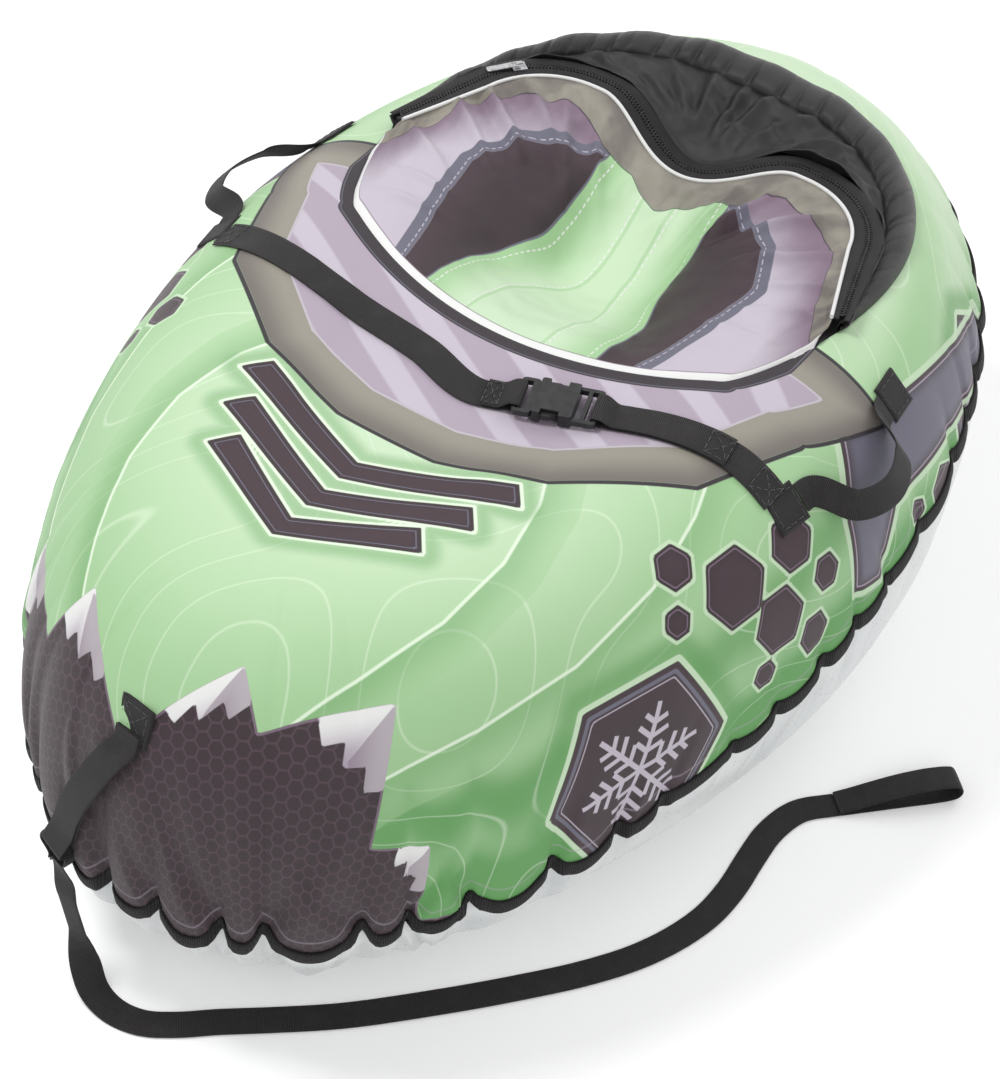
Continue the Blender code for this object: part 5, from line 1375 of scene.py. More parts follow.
def towards(start, end, distance):
    """Points in plan at some distances from a line's points towards another line's."""
    way = unit((end - start)[..., :2])
    return start[..., :2] + way * np.asarray(distance)[..., None]


class Opening:
    """The seat opening's lines at many shares across it, from the right end to the left."""

    def __init__(self, deck_field):
        self.share = np.linspace(0, 1, SEAT_COLUMNS)
        front = VEE_ANGLE - (math.pi + 2 * VEE_ANGLE) * self.share
        rear = rear_turns(self.share)
        self.start = ring_point(front, top_level(front))
        deck = np.sin(front) < -LAYER_GAP
        self.start[deck, 1] = band_edge_y(self.start[deck, 0])
        over = deck_field.at(self.start[:, 0], self.start[:, 1])
        self.start[:, 2] = np.where(deck, np.minimum(self.start[:, 2], over), self.start[:, 2])
        self.end = ring_point(rear, top_level(rear))
        self.zip = zip_point(self.share)
        self.zip[:, 2] = zip_height(self.zip[:, 0])
        self.side = zip_side(self.share)[:, :2]
        self.half = zip_half_width(self.share)
        self.length = running_length(self.zip)

    def beside(self, distance):
        """Points in plan beside the zip's middle, behind it where the distance is positive."""
        return self.zip[:, :2] + self.side * distance[:, None]


def ramp(value, width):
    return smooth_step(value, 0.0, width)


def across_rows(first, last, shares):
    """A grid of points in plan between two lines."""
    return first[:, None, :] + (last - first)[:, None, :] * shares[None, :, None]


def from_edges(plan):
    """Distances in plan from the first and from the last line of a grid of points."""
    return [np.linalg.norm(plan - plan[:, [line]], axis=-1) for line in (0, -1)]


def pinned_heights(field, plan, start_z, end_z):
    """Heights from a field, drawn to given heights along the first and last lines."""
    z = field.at(plan[..., 0], plan[..., 1])
    near, far = from_edges(plan)
    z = start_z[:, None] + (z - start_z[:, None]) * ramp(near, PIN_REACH)
    return end_z[:, None] + (z - end_z[:, None]) * ramp(far, PIN_REACH)


def over_tube(tube_field, x, y, z):
    """Heights that stay over the inner tube, eased where they come close to it."""
    floor = tube_field.at(x, y) + TUBE_CLEARANCE
    gap = z - floor
    eased = TUBE_EASE * np.exp(np.minimum(gap, TUBE_EASE) / TUBE_EASE - 1)
    return floor + np.where(gap > TUBE_EASE, gap, eased)


# The seat print's dark side panels, and each of the seat's folds: its start, end, width and height
SEAT_BOLSTER = [(0.020, -0.120), (0.106, -0.120), (0.112, -0.020), (0.128, 0.050), (0.140, 0.118)]
SEAT_BOLSTER += [(0.118, 0.172), (0.020, 0.240)]
SEAT_FOLDS = [
    ((-0.222, 0.190), (-0.120, 0.120), 0.0069, 0.0109),
    ((-0.214, 0.225), (-0.105, 0.150), 0.0060, 0.0123),
    ((-0.190, 0.250), (-0.080, 0.175), 0.0065, 0.0101),
    ((-0.140, 0.262), (-0.060, 0.150), 0.0077, 0.0091),
    ((-0.222, 0.125), (-0.140, 0.085), 0.0060, 0.0080),
    ((-0.205, 0.060), (-0.120, 0.070), 0.0052, 0.0053),
    ((-0.196, 0.020), (-0.110, 0.050), 0.0060, 0.0046),
    ((-0.095, 0.245), (-0.035, 0.165), 0.0060, 0.0070),
    ((-0.205, 0.208), (-0.110, 0.136), 0.0047, -0.0070),
    ((0.018, 0.236), (0.010, 0.150), 0.0069, 0.0063),
    ((0.060, 0.250), (0.030, 0.150), 0.0065, 0.0098),
    ((0.105, 0.262), (0.052, 0.160), 0.0069, 0.0119),
    ((0.160, 0.240), (0.075, 0.160), 0.0060, 0.0115),
    ((0.195, 0.205), (0.095, 0.130), 0.0073, 0.0101),
    ((0.215, 0.160), (0.120, 0.112), 0.0060, 0.0098),
    ((0.222, 0.118), (0.130, 0.085), 0.0052, 0.0070),
    ((0.205, 0.060), (0.120, 0.060), 0.0060, 0.0046),
    ((0.180, 0.222), (0.085, 0.146), 0.0047, -0.0070),
    ((0.130, 0.250), (0.062, 0.162), 0.0047, -0.0066),
]


def seat_sheet(opening, seat_field, tube_field):
    edge = opening.beside(-(opening.half + ZIP_SEAM))
    first = towards(opening.start, coords(edge[:, 0], edge[:, 1], 0.0), -STRIPE_TUCK)
    plan = across_rows(first, edge, np.linspace(0, 1, SEAT_ROWS))
    z = pinned_heights(seat_field, plan, opening.start[:, 2] - TUCK_DROP, opening.zip[:, 2])
    x, y = plan[..., 0], plan[..., 1]
    near_stripe, near_zip = from_edges(plan)
    free = ramp(near_zip, SEAT_FOLD_FADE)
    for start, end, width, height in SEAT_FOLDS:
        z = z + free * fold(x, y, start, end, width, height, 1.6)
    wave = rough(x, y, SEAT_WAVE_LENGTH, SEAT_WAVE_SEED)
    z = z + SEAT_WAVE * ramp(np.minimum(near_stripe, near_zip), SEAT_WAVE_FADE) * wave
    crumple = 1 - np.abs(rough(x, y, SEAT_CRUMPLE_LENGTH, SEAT_CRUMPLE_SEED, 2)) * 2
    near, far = SEAT_CRUMPLE_REACH
    z = z + SEAT_CRUMPLE * ramp(near_zip, near) * (1 - ramp(near_zip, far)) * crumple
    z = z + (over_tube(tube_field, x, y, z) - z) * smooth_step(near_stripe, *SEAT_OVER_TUBE)
    points = coords(x, y, z)
    flat = coords(x, developed(points, 0))
    faces = grid_faces(SEAT_COLUMNS, SEAT_ROWS)[:, ::-1]
    finish = print_material("seat_print", seat_ground, SEAT_PRINT)
    return mesh_object("printed_seat", points, faces, flat, seat_layers(plan, points), finish)


def seat_layers(plan, points):
    """Motifs of the seat's print as signed distances."""
    from_zip = -developed(points, SEAT_ROWS - 1)
    x, y = np.abs(plan[..., 0]), plan[..., 1]
    zigzag = np.abs(np.mod(x / ZIGZAG_PITCH, 1.0) - 0.5)
    return {
        "from_stripe": developed(points, 0) - STRIPE_TUCK,
        "from_zip": from_zip,
        "band": 0.082 - 0.022 * smooth_step(y, 0.02, 0.13) - x,
        "bolster": inside_polygon(mirrored(plan), SEAT_BOLSTER),
        "strip": STRIP_WIDTH + ZIGZAG_DEPTH * zigzag - from_zip,
    }


def seat_ground(nodes):
    """Lilac that is pale in front and deeper towards the zip."""
    near = nodes.add(nodes.attribute("from_zip"), nodes.noise(nodes.flat(), 16.0, 3.0), 0.06)
    return nodes.mix(nodes.between(near, 0.060, 0.165), DEEP_LILAC, PALE_LILAC)


def strip_tone(nodes):
    wide = nodes.noise(nodes.flat(), 22.0, 3.0)
    return nodes.mix(nodes.between(wide, 0.35, 0.65), DEEP_TAUPE, TAUPE)


SEAT_PRINT = [
    ("bolster", -0.0120, 0.0, 0.0005, SLATE, 1.0),
    ("bolster", -0.0040, -0.0030, 0.0003, PALE_LILAC, 0.9, "from_stripe", 0.0072),
    ("bolster", 0.0, None, 0.0005, edge_fade("bolster", NOSE_DARK, AUBERGINE, 0.030), 1.0),
    ("band", -0.0016, None, 0.0005, SLATE, 1.0),
    ("band", 0.0, None, 0.0005, edge_fade("band", LIGHT_GREEN, MID_GREEN, 0.045), 1.0),
    ("band", 0.0060, 0.0070, 0.0003, OFF_WHITE, 0.95, "from_stripe", 0.0072),
    ("band", 0.0420, 0.0430, 0.0003, OFF_WHITE, 0.95, "from_stripe", 0.0072),
    ("band", 0.0440, 0.0470, 0.0012, MID_GREEN, 0.6),
    ("strip", 0.0, None, 0.0005, strip_tone, 1.0),
    ("strip", -0.0014, 0.0, 0.0004, LINE_DARK, 0.8),
    ("from_stripe", -1.0, 0.0100, 0.0005, OFF_WHITE, 1.0),
    ("from_stripe", 0.0100, 0.0112, 0.0004, DEEP_LILAC, 0.8),
]


def add_well_folds(z, x, y, edge, last):
    """Heights with the well's folds, which spread from gathers at the zip out to the rim."""
    chance = random.Random(WELL_SEED)
    for i in range(WELL_FOLDS):
        share = WELL_FIRST_FOLD + WELL_FOLD_SPAN * i / (WELL_FOLDS - 1) + chance.uniform(-0.02, 0.02)
        gather = (share - 0.5) * chance.uniform(*WELL_GATHER) + 0.5
        outer, inner = int(share * (SEAT_COLUMNS - 1)), int(gather * (SEAT_COLUMNS - 1))
        valley = min(outer + int(WELL_VALLEY * SEAT_COLUMNS), SEAT_COLUMNS - 1)
        start = edge[inner] * 0.85 + last[inner] * 0.15
        size = chance.uniform(*WELL_FOLD_HEIGHT)
        width = chance.uniform(*WELL_FOLD_WIDTH)
        z = z + fold(x, y, start, last[outer], width, size, 1.5)
        z = z + fold(x, y, start, last[valley], 0.8 * width, -0.6 * size, 1.6)
    return z


def well_sheet(opening, well_field, tube_field):
    edge = opening.beside(opening.half + ZIP_SEAM)
    inner = towards(opening.end, opening.zip, rim_width(opening.share))
    last = towards(coords(inner[:, 0], inner[:, 1], 0.0), opening.end, 0.004)
    plan = across_rows(edge, last, np.linspace(0, 1, WELL_ROWS))
    high = tube_field.at(last[:, 0], last[:, 1]) + 0.0034
    x, y = plan[..., 0], plan[..., 1]
    z = add_well_folds(pinned_heights(well_field, plan, opening.zip[:, 2], high), x, y, edge, last)
    crumple = 1 - 2 * np.abs(rough(x, y, WELL_CRUMPLE_LENGTH, WELL_CRUMPLE_SEED))
    z = z + WELL_CRUMPLE * ramp(np.minimum(*from_edges(plan)), WELL_CRUMPLE_FADE) * crumple
    points = coords(x, y, over_tube(tube_field, x, y, z))
    flat = coords(opening.length[:, None], developed(points, 0))
    faces = grid_faces(SEAT_COLUMNS, WELL_ROWS)[:, ::-1]
    return mesh_object("well_cloth", points, faces, flat, None, oxford_material())


def rim_pleats(length):
    """Depths of the pleats at each length along the rim."""
    chance = random.Random(PLEAT_SEED)
    pleat = np.zeros(len(length))
    place = 0.01
    while place < length[-1]:
        depth = chance.uniform(0.45, 1.0)
        pleat += depth * np.exp(-(((length - place) / PLEAT_WIDTH) ** 2))
        place += chance.uniform(*PLEAT_SPACING)
    return pleat[:, None]


def rim_pad(tube_field):
    """The padded hem, with small pleats where the cloth is gathered on it."""
    share = np.linspace(0, 1, RIM_COLUMNS)
    rear = rear_turns(share)
    end = ring_point(rear, top_level(rear))
    zipped = zip_point(share)
    first = towards(end, zipped, rim_width(share) + RIM_INNER_LAP)
    last = towards(end, zipped, -RIM_OUTER_LAP)
    low_first = tube_field.at(first[:, 0], first[:, 1]) + RIM_INNER_LAP
    low_last = end[:, 2] - RIM_OUTER_LAP
    length = running_length(end)
    angle = np.linspace(0, math.pi, RIM_ROWS)
    over = (1 - np.cos(angle)) / 2
    fullness = RIM_PUFF * (1 - (1 - near_end(share)) / 2) + RIM_LEAST_PUFF
    plan = across_rows(first, last, over)
    base = low_first[:, None] + (low_last - low_first)[:, None] * over[None, :]
    base = np.maximum(base, tube_field.at(plan[..., 0], plan[..., 1]) + ROOM_UNDER_COVER)
    fade = np.exp(-((over[None, :] / PLEAT_REACH) ** 2))
    crease = 1 - rim_pleats(length) * (PLEAT_DEPTH * fade + 0.03)
    wide = 1 + 0.10 * np.sin(length[:, None] * 95) + 0.06 * np.sin(length[:, None] * 41 + 1.3)
    z = base + fullness[:, None] * (np.sin(angle) ** 0.75)[None, :] * np.clip(crease, 0.35, 1) * wide
    points = coords(plan[..., 0], plan[..., 1], z)
    flat = coords(length[:, None], developed(points, 0))
    faces = grid_faces(RIM_COLUMNS, RIM_ROWS)[:, ::-1]
    return mesh_object("rim_pad", points, faces, flat, None, oxford_material())


def offset_strip(name, opening, near, far, finish):
    """A narrow, slightly bowed strip beside the zip's line, between two distances across it."""
    shares = np.linspace(0, 1, 7)
    rows = []
    for s in shares:
        plan = opening.beside(near + (far - near) * s)
        bow = TAPE_BOW * math.sin(math.pi * s)
        rows.append(coords(plan[:, 0], plan[:, 1], opening.zip[:, 2] + TAPE_LIFT + bow))
    points = np.stack(rows, axis=1)
    flat = coords(developed(points, 0), opening.length[:, None])
    made = mesh_object(name, points, grid_faces(SEAT_COLUMNS, len(shares))[:, ::-1], flat, None, finish)
    thicken(made, TAPE_THICKNESS)
    return made


def circle(count):
    return [2 * math.pi * k / count for k in range(count)]


def add_tube(points, faces, rings):
    """Add a closed tube to a mesh, from its rings of points."""
    start, count = len(points), len(rings[0])
    for j in range(len(rings) - 1):
        for k in range(count):
            a = start + j * count + k
            b = start + j * count + (k + 1) % count
            faces.append([a, b, b + count, a + count])
    faces.append([start + k for k in range(count)][::-1])
    faces.append([start + (len(rings) - 1) * count + k for k in range(count)])
    for ring in rings:
        points += ring


def coil_teeth(opening):
    """Two rows of small loops that mesh along the zip's middle."""
    wanted = np.arange(0.006, opening.length[-1] - 0.006, COIL_PITCH)
    zipped = interpolated(wanted, opening.length, opening.zip)
    side = interpolated(wanted, opening.length, opening.side)
    points, faces = [], []
    for i, place in enumerate(zipped):
        across = Vector((side[i][0], side[i][1], 0)).normalized()
        along = Vector((-across.y, across.x, 0))
        hand = 1 if i % 2 else -1
        rings = []
        for s, thick in COIL_SECTIONS:
            middle = Vector(place) + across * hand * s * COIL_WIDTH / 2
            ring = [middle + along * math.cos(angle) * thick * 0.62 for angle in circle(7)]
            rise = [Vector((0, 0, math.sin(angle) * thick + 0.0002)) for angle in circle(7)]
            rings.append([spot + up for spot, up in zip(ring, rise)])
        add_tube(points, faces, rings)
    finish = moulded_material("zip_coil", (22, 22, 23), (44, 43, 44))
    return mesh_object("coil_teeth", np.array([p[:] for p in points]), faces, None, None, finish)


# Rods, ribbons and stitches


def hermite(start, end, start_slope, end_slope, length, share):
    """A point on the smooth curve between two points with given slopes."""
    rest = 1 - share
    near = start * (1 + 2 * share) * rest**2 + start_slope * length * share * rest**2
    far = end * share * share * (3 - 2 * share) - end_slope * length * share * share * rest
    return near + far


def resample(points, step):
    """A smooth curve through some points, cut to even steps."""
    points = np.array([p[:] for p in points], float)
    keep = np.concatenate([[True], np.linalg.norm(np.diff(points, axis=0), axis=-1) > 1e-6])
    points = points[keep]
    length = running_length(points)
    wanted = np.linspace(0, length[-1], max(2, int(length[-1] / step) + 1))
    slope = np.gradient(points, length, axis=0)
    k = np.clip(np.searchsorted(length, wanted, "right") - 1, 0, len(length) - 2)
    gap = (length[k + 1] - length[k])[:, None]
    share = (wanted - length[k])[:, None] / gap
    found = hermite(points[k], points[k + 1], slope[k], slope[k + 1], gap, share)
    return found, wanted, length, keep


def carried(values, length, wanted, keep):
    """Values given on a curve's first points, on its resampled ones."""
    return interpolated(wanted, length, np.array([v[:] for v in values], float)[keep])


def around(count):
    return np.linspace(0, 2 * math.pi, count + 1)[:-1]


def swept(name, points, across, along, finish):
    """A closed skin over rings of points, with a cap on each end."""
    rows, columns = points.shape[:2]
    order = np.arange(rows * columns).reshape(rows, columns).T.ravel()
    faces = order[grid_faces(columns, rows, True)].tolist()
    faces.append(list(range(columns)))
    faces.append([(rows - 1) * columns + k for k in range(columns)][::-1])
    return mesh_object(name, points, faces, coords(across[None, :], along[:, None]), None, finish)


def ribbon(name, centres, sides, width, finish, step):
    """Webbing with rounded edges along its centres, its width along the given sides."""
    line, wanted, length, keep = resample(centres, step)
    across = carried(sides, length, wanted, keep)
    way = unit(np.gradient(line, axis=0))
    across -= way * (across * way).sum(-1, keepdims=True)
    across = unit(across)
    face = np.cross(across, way)
    angles = around(20)
    x = signed_power(np.cos(angles), 0.35) * width / 2
    z = signed_power(np.sin(angles), 0.55) * WEBBING_THICKNESS / 2
    points = line[:, None, :] + across[:, None, :] * x[None, :, None] + face[:, None, :] * z[None, :, None]
    return swept(name, points, x, wanted, finish)


def rod(name, centres, radius, finish):
    """A round cord along its centres."""
    line, wanted, _, _ = resample(centres, 0.002)
    way = unit(np.gradient(line, axis=0))
    across = unit(np.cross(way, np.array([0.0, 0.0, 1.0])))
    over = np.cross(across, way)
    angles = around(10)
    x, z = np.cos(angles)[None, :, None], np.sin(angles)[None, :, None]
    points = line[:, None, :] + (across[:, None, :] * x + over[:, None, :] * z) * radius
    return swept(name, points, angles * radius, wanted, finish)


def stitches(name, lines, finish, lift=0.0002):
    """Dashes of thread along lines, each sinking at its ends."""
    points, faces = [], []
    up = Vector((0, 0, 1))
    for line in lines:
        even, _, _, _ = resample(line, STITCH_LENGTH + STITCH_GAP)
        for start, end in zip(map(Vector, even), map(Vector, even[1:])):
            end = start + (end - start) * (STITCH_LENGTH / (STITCH_LENGTH + STITCH_GAP))
            across = (end - start).normalized().cross(up).normalized()
            rings = []
            for s in (0.0, 0.2, 0.5, 0.8, 1.0):
                rise = lift + THREAD_RADIUS * math.sin(math.pi * s) - THREAD_RADIUS * 0.8
                spot = start.lerp(end, s) + up * rise
                ways = [across * math.cos(angle) + up * math.sin(angle) for angle in circle(6)]
                rings.append([spot + way * THREAD_RADIUS for way in ways])
            add_tube(points, faces, rings)
    return mesh_object(name, np.array([p[:] for p in points]), faces, None, None, finish)


# Base and binding


def base_sheet():
    turns, lengths, _ = even_turns(COVER_TURNS)
    shares = np.linspace(0, 1, BASE_COLUMNS) ** BASE_ROW_SPREAD
    high = hem_level(turns)[:, None]
    points = ring_point(turns[:, None], -math.pi / 2 + (high + math.pi / 2) * shares[None, :])
    height = -developed(points, BASE_COLUMNS - 1)
    normals = grid_normals(points, True)
    bulge = GATHERS.bulge(turns[:, None], height) * calm_share(points)
    tucked = TUCK_DEPTH * np.exp(-height / TUCK_REACH)
    points = points + normals * (BASE_PUCKER * bulge - tucked)[..., None]
    points[..., 2] = np.maximum(points[..., 2], 0.0)
    flat = coords(lengths[:, None], height)
    faces = grid_faces(COVER_TURNS, BASE_COLUMNS, True).tolist()
    faces.append([i * BASE_COLUMNS for i in range(COVER_TURNS)][::-1])
    return mesh_object("base_skin", points, faces, flat, None, base_material())


def binding_band(side):
    """The elastic band over the hem, following the gathers of the cover's side."""
    hem = side[:, 0]
    _, lengths, _ = even_turns(COVER_TURNS)
    up = unit(side[:, 6] - hem)
    out = unit(np.cross(unit(np.roll(hem, -1, axis=0) - np.roll(hem, 1, axis=0)), up))
    angles = around(16)
    x = signed_power(np.sin(angles), 0.7) * BINDING_HEIGHT / 2
    z = signed_power(np.cos(angles), 0.8) * BINDING_THICKNESS / 2 + BINDING_THICKNESS * BINDING_STAND
    points = hem[:, None] + up[:, None] * x[None, :, None] + out[:, None] * z[None, :, None]
    flat = coords(x[None, :], lengths[:, None])
    closed, flat = (np.concatenate([grid, grid[:, :1]], axis=1) for grid in (points, flat))
    faces = grid_faces(COVER_TURNS, 17, True)
    return mesh_object("hem_binding", closed, faces, flat, None, binding_material())


# Webbing


def height_over(tree, spot, off):
    """Height of a strap's middle that lies off a skin, which may be steep."""
    place, normal = skin_hit(tree, spot.x, spot.y)
    return place.z + off / max(normal.z, 0.25) if place else 0.0


def laid(tree, route):
    """Centres and width directions of the belt laid on a skin."""
    line, _, _, _ = resample([Vector((x, y, 0)) for x, y in route], 0.006)
    centres, sides = [], []
    for i, place in enumerate(line):
        way = Vector(line[min(i + 1, len(line) - 1)] - line[max(i - 1, 0)]).normalized()
        across = Vector((-way.y, way.x, 0))
        spots = [Vector(place) + across * BELT_WIDTH * over for over in (-0.5, -0.25, 0.0, 0.25, 0.5)]
        heights = [height_over(tree, spot, BELT_LIFT + WEBBING_THICKNESS / 2) for spot in spots]
        middle = max(heights[2], (heights[0] + heights[4]) / 2, (heights[1] + heights[3]) / 2)
        centres.append(Vector((place[0], place[1], middle)))
        sides.append((across * BELT_WIDTH + Vector((0, 0, heights[4] - heights[0]))).normalized())
    return centres, sides


# The buckle and its belt


def bar_fold(bar_start):
    """The belt's bend round a bar: places along the buckle and over it."""
    high = BUCKLE_FRAME_THICKNESS / 2 + LAYER_GAP + WEBBING_THICKNESS / 2
    bend = [(bar_start - 0.003, -high)]
    for i in range(9):
        angle = math.pi * (i / 8 - 1 / 2)
        reach = FOLD_REACH * math.sqrt(abs(math.cos(angle)))
        bend.append((bar_start + BAR_DEPTH + reach, high * float(signed_power(math.sin(angle), 0.5))))
    return bend + [(bar_start - 0.0012, high)]


def belt_half(name, tree, route, place, bar_start, doubled, finish):
    """One side of the belt, folded round its bar and doubled back, with its upper and lower runs."""
    away = [place @ Vector((bar_start - x, 0, 0)) for x in (BELT_WIDTH, SEWN_END / 2)]
    centres, sides = laid(tree, route + [(p.x, p.y) for p in away])
    across = place.to_3x3() @ Vector((0, 1, 0))
    bend = [place @ Vector((x, 0, z)) for x, z in bar_fold(bar_start)]
    up = Vector((0, 0, WEBBING_THICKNESS + 0.0004))
    run = list(reversed(list(zip(centres, sides))))
    back = [(p + up, s) for p, s in run if (p - bend[0]).length < doubled]
    line = centres + bend + [p for p, _ in back]
    widths = sides + [across] * len(bend) + [s for _, s in back]
    return ribbon(name, line, widths, BELT_WIDTH, finish, 0.0016), back, run


def belt_stitches(name, back, finish):
    """A sewn box with a cross over the belt at the last of the given places."""
    lift = Vector((0, 0, WEBBING_THICKNESS / 2 + LAYER_GAP))
    sewn = [(p, s) for p, s in back if (p - back[-1][0]).length < SEWN_BOX]
    run = [(p + lift, s * BELT_WIDTH * SEWN_HALF_SHARE) for p, s in sewn]
    lines = [[p + s for p, s in run], [p - s for p, s in run]]
    for place, side in (run[0], run[-1]):
        lines.append([place - side, place, place + side])
    middle = run[len(run) // 2][0]
    for hand in (-1, 1):
        lines.append([run[0][0] - run[0][1] * hand, middle, run[-1][0] + run[-1][1] * hand])
    return stitches(name, lines, finish)


def frame_of_patch(node, turn):
    """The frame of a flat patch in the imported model: Z out of the skin, X along the ring."""
    mesh = frame["nodes"][node].data
    points = np.array([v.co[:] for v in mesh.vertices])
    low, high = points.min(0), points.max(0)
    centre = points.mean(0)
    _, _, ways = np.linalg.svd(points - centre, full_matrices=False)
    normal = Vector(ways[2])
    middle = Vector(path_point(turn))
    middle.z = RING_HEIGHT / 2
    if normal.dot(Vector((low + high) / 2) - middle) < 0:
        normal = -normal
    outward = path_normal(turn)
    along = Vector((-outward[1], outward[0], 0))
    along = (along - normal * along.dot(normal)).normalized()
    turned = Matrix((along, normal.cross(along), normal)).transposed().to_4x4()
    origin = Vector(centre) - normal * PATCH_THICKNESS / 2
    return Matrix.Translation(origin) @ turned


def fold_patch(name, place, finish):
    """A square of folded webbing: two plies whose edges show, with a slightly cushioned face."""
    count = 18
    side = np.linspace(-1, 1, count)
    grid = np.arange(count * count).reshape(count, count)
    rim = np.concatenate([grid[:, 0], grid[-1, 1:], grid[-2::-1, -1], grid[0, -2:0:-1]])
    below = count * count + np.arange(len(rim))
    skirt = np.stack([np.roll(rim, -1), rim, below, np.roll(below, -1)], axis=-1)
    faces = np.concatenate([grid_faces(count, count), skirt])
    thick = PATCH_THICKNESS / 2
    for ply in (0, 1):
        half = PATCH_SIZE / 2 - 0.0006 * ply
        low = thick * ply + 0.0001
        x, y = np.meshgrid(side * half, side * half, indexing="ij")
        edge = np.minimum(1 - np.abs(x / half), 1 - np.abs(y / half))
        z = low + thick * (0.35 + 0.65 * np.clip(edge * 9, 0, 1) ** 0.5)
        border = np.maximum(np.abs(x), np.abs(y)) / half
        z = z - 0.00045 * np.exp(-(((border - 0.74) / 0.05) ** 2)) * ply
        top = coords(x, y, z).reshape(-1, 3)
        points = np.concatenate([top, coords(top[rim, 0], top[rim, 1], low)])
        placed = np.array([(place @ Vector(p))[:] for p in points])
        made = mesh_object(name + "_ply_%d" % ply, placed, faces, points[:, :2], None, finish)
    return made


def box_lines(place, half, cross=False):
    """A sewn box as lines on a patch."""
    corners = [(-half, -half), (half, -half), (half, half), (-half, half), (-half, -half)]
    pairs = list(zip(corners, corners[1:]))
    if cross:
        pairs += [(corners[0], corners[2]), (corners[1], corners[3])]
    lines = []
    for a, b in pairs:
        middle = ((a[0] + b[0]) / 2, (a[1] + b[1]) / 2)
        lines.append([place @ Vector((*p, PATCH_THICKNESS)) for p in (a, middle, b)])
    return lines


def up_of(place):
    return (place.to_3x3() @ Vector((0, 1, 0))).normalized()


def grab_handle(side_name, on_left, rear, front, finish):
    """A grab strap between two patches, standing clear of the cover."""
    ahead = 1 if on_left else -1
    half = PATCH_SIZE / 2 + 0.0006
    low = LAYER_GAP + WEBBING_THICKNESS / 2
    run = PATCH_SIZE / 4
    first = [rear @ Vector((ahead * x, 0, low + rise)) for x, rise in ((half, 0), (half + run, 0.0012))]
    last = [front @ Vector((-ahead * x, 0, low + rise)) for x, rise in ((half + run, 0.0012), (half, 0))]
    centres, sides = first, [up_of(rear)] * 2
    for s in (0.3, 0.5, 0.7):
        turn = HANDLE_FIRST_ANGLE + (HANDLE_LAST_ANGLE - HANDLE_FIRST_ANGLE) * s
        turn = math.pi - turn if on_left else turn
        bow = math.sin(math.pi * s)
        level = HANDLE_PATCH_LEVEL - HANDLE_DROP_LEVEL * bow
        stand = HANDLE_STAND_OFF * bow**1.3
        centre = Vector(ring_point(turn, level, stand))
        centres.append(centre)
        sides.append((Vector(ring_point(turn, level + HANDLE_DROP_LEVEL, stand)) - centre).normalized())
    sides += [up_of(front)] * 2
    made = ribbon("grip_%s_webbing" % side_name, centres + last, sides, STRAP_WIDTH, finish, 0.0016)
    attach(made, "grip_" + side_name)
    return made


def tow_guide(patch):
    """Middle places of the tow loop from its patch down, each with the way out of the skin."""
    face = (patch.to_3x3() @ Vector((0, 0, 1))).normalized()
    lift = PATCH_THICKNESS + LAYER_GAP * 1.5 + WEBBING_THICKNESS
    guide = [(patch @ Vector((0, -PATCH_SIZE / 2 * share, lift)), face) for share in (0.4, 1.1)]
    for i in range(1, 8):
        share = i / 7
        turn = TOW_FIRST_TURN + (TOW_LAST_TURN - TOW_FIRST_TURN) * share
        level = TOW_FIRST_LEVEL + (TOW_LAST_LEVEL - TOW_FIRST_LEVEL) * share
        place = Vector(ring_point(turn, level, TOW_STAND + (TOW_END_STAND - TOW_STAND) * share))
        guide.append((place, (place - Vector(ring_point(turn, level))).normalized()))
    return guide


def tow_loop(patch, finish):
    """The sewn loop: its webbing, the middle of its bend, the way down and the way across."""
    guide = tow_guide(patch)
    centre, out = guide.pop()
    way = (centre - guide[-1][0]).normalized()
    out = (out - way * out.dot(way)).normalized()
    last_side = out.cross(way).normalized()
    first_side = patch.to_3x3() @ Vector((1, 0, 0))
    first_side *= math.copysign(1, first_side.dot(last_side))
    inner, outer, sides = [], [], []
    for i, (place, face) in enumerate(guide):
        share = i / len(guide)
        apart = (WEBBING_THICKNESS + LAYER_GAP) / 2 + TOW_BEND_RADIUS * max(0.0, share - 0.7)
        inner.append(place - face * apart)
        outer.append(place + face * apart)
        sides.append(first_side.lerp(last_side, share))
    bend = []
    for angle in (math.radians(30) * (i - 4) for i in range(9)):
        ahead = way * TOW_BEND_RADIUS * math.cos(angle)
        bend.append(centre + ahead + out * TOW_BEND_RADIUS * math.sin(angle))
    points = inner + bend + list(reversed(outer))
    widths = sides + [last_side] * len(bend) + list(reversed(sides))
    loop = ribbon("tow_tab_webbing", points, widths, STRAP_WIDTH, finish, 0.0014)
    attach(loop, "tow_tab")
    return loop, centre, way, last_side


def tow_assembly(finish, stitch):
    """The sewn loop, the strap's eye through it, the strap down to the floor and the hand loop."""
    patch = frame_of_patch("tow_patch", TOW_FIRST_TURN)
    loop, centre, way, side = tow_loop(patch, finish)
    joint = centre + way * EYE_LENGTH
    eye = strap_eye(finish, centre, side, joint)
    strap, line = tow_strap(finish, joint, side)
    hand = hand_loop(finish, line)
    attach(fold_patch("tow_patch_webbing", patch, finish), "tube")
    stitches("tow_patch_stitches", box_lines(patch, PATCH_SIZE * 0.36, True), stitch, 0.0003)
    return loop, eye, strap, hand, line


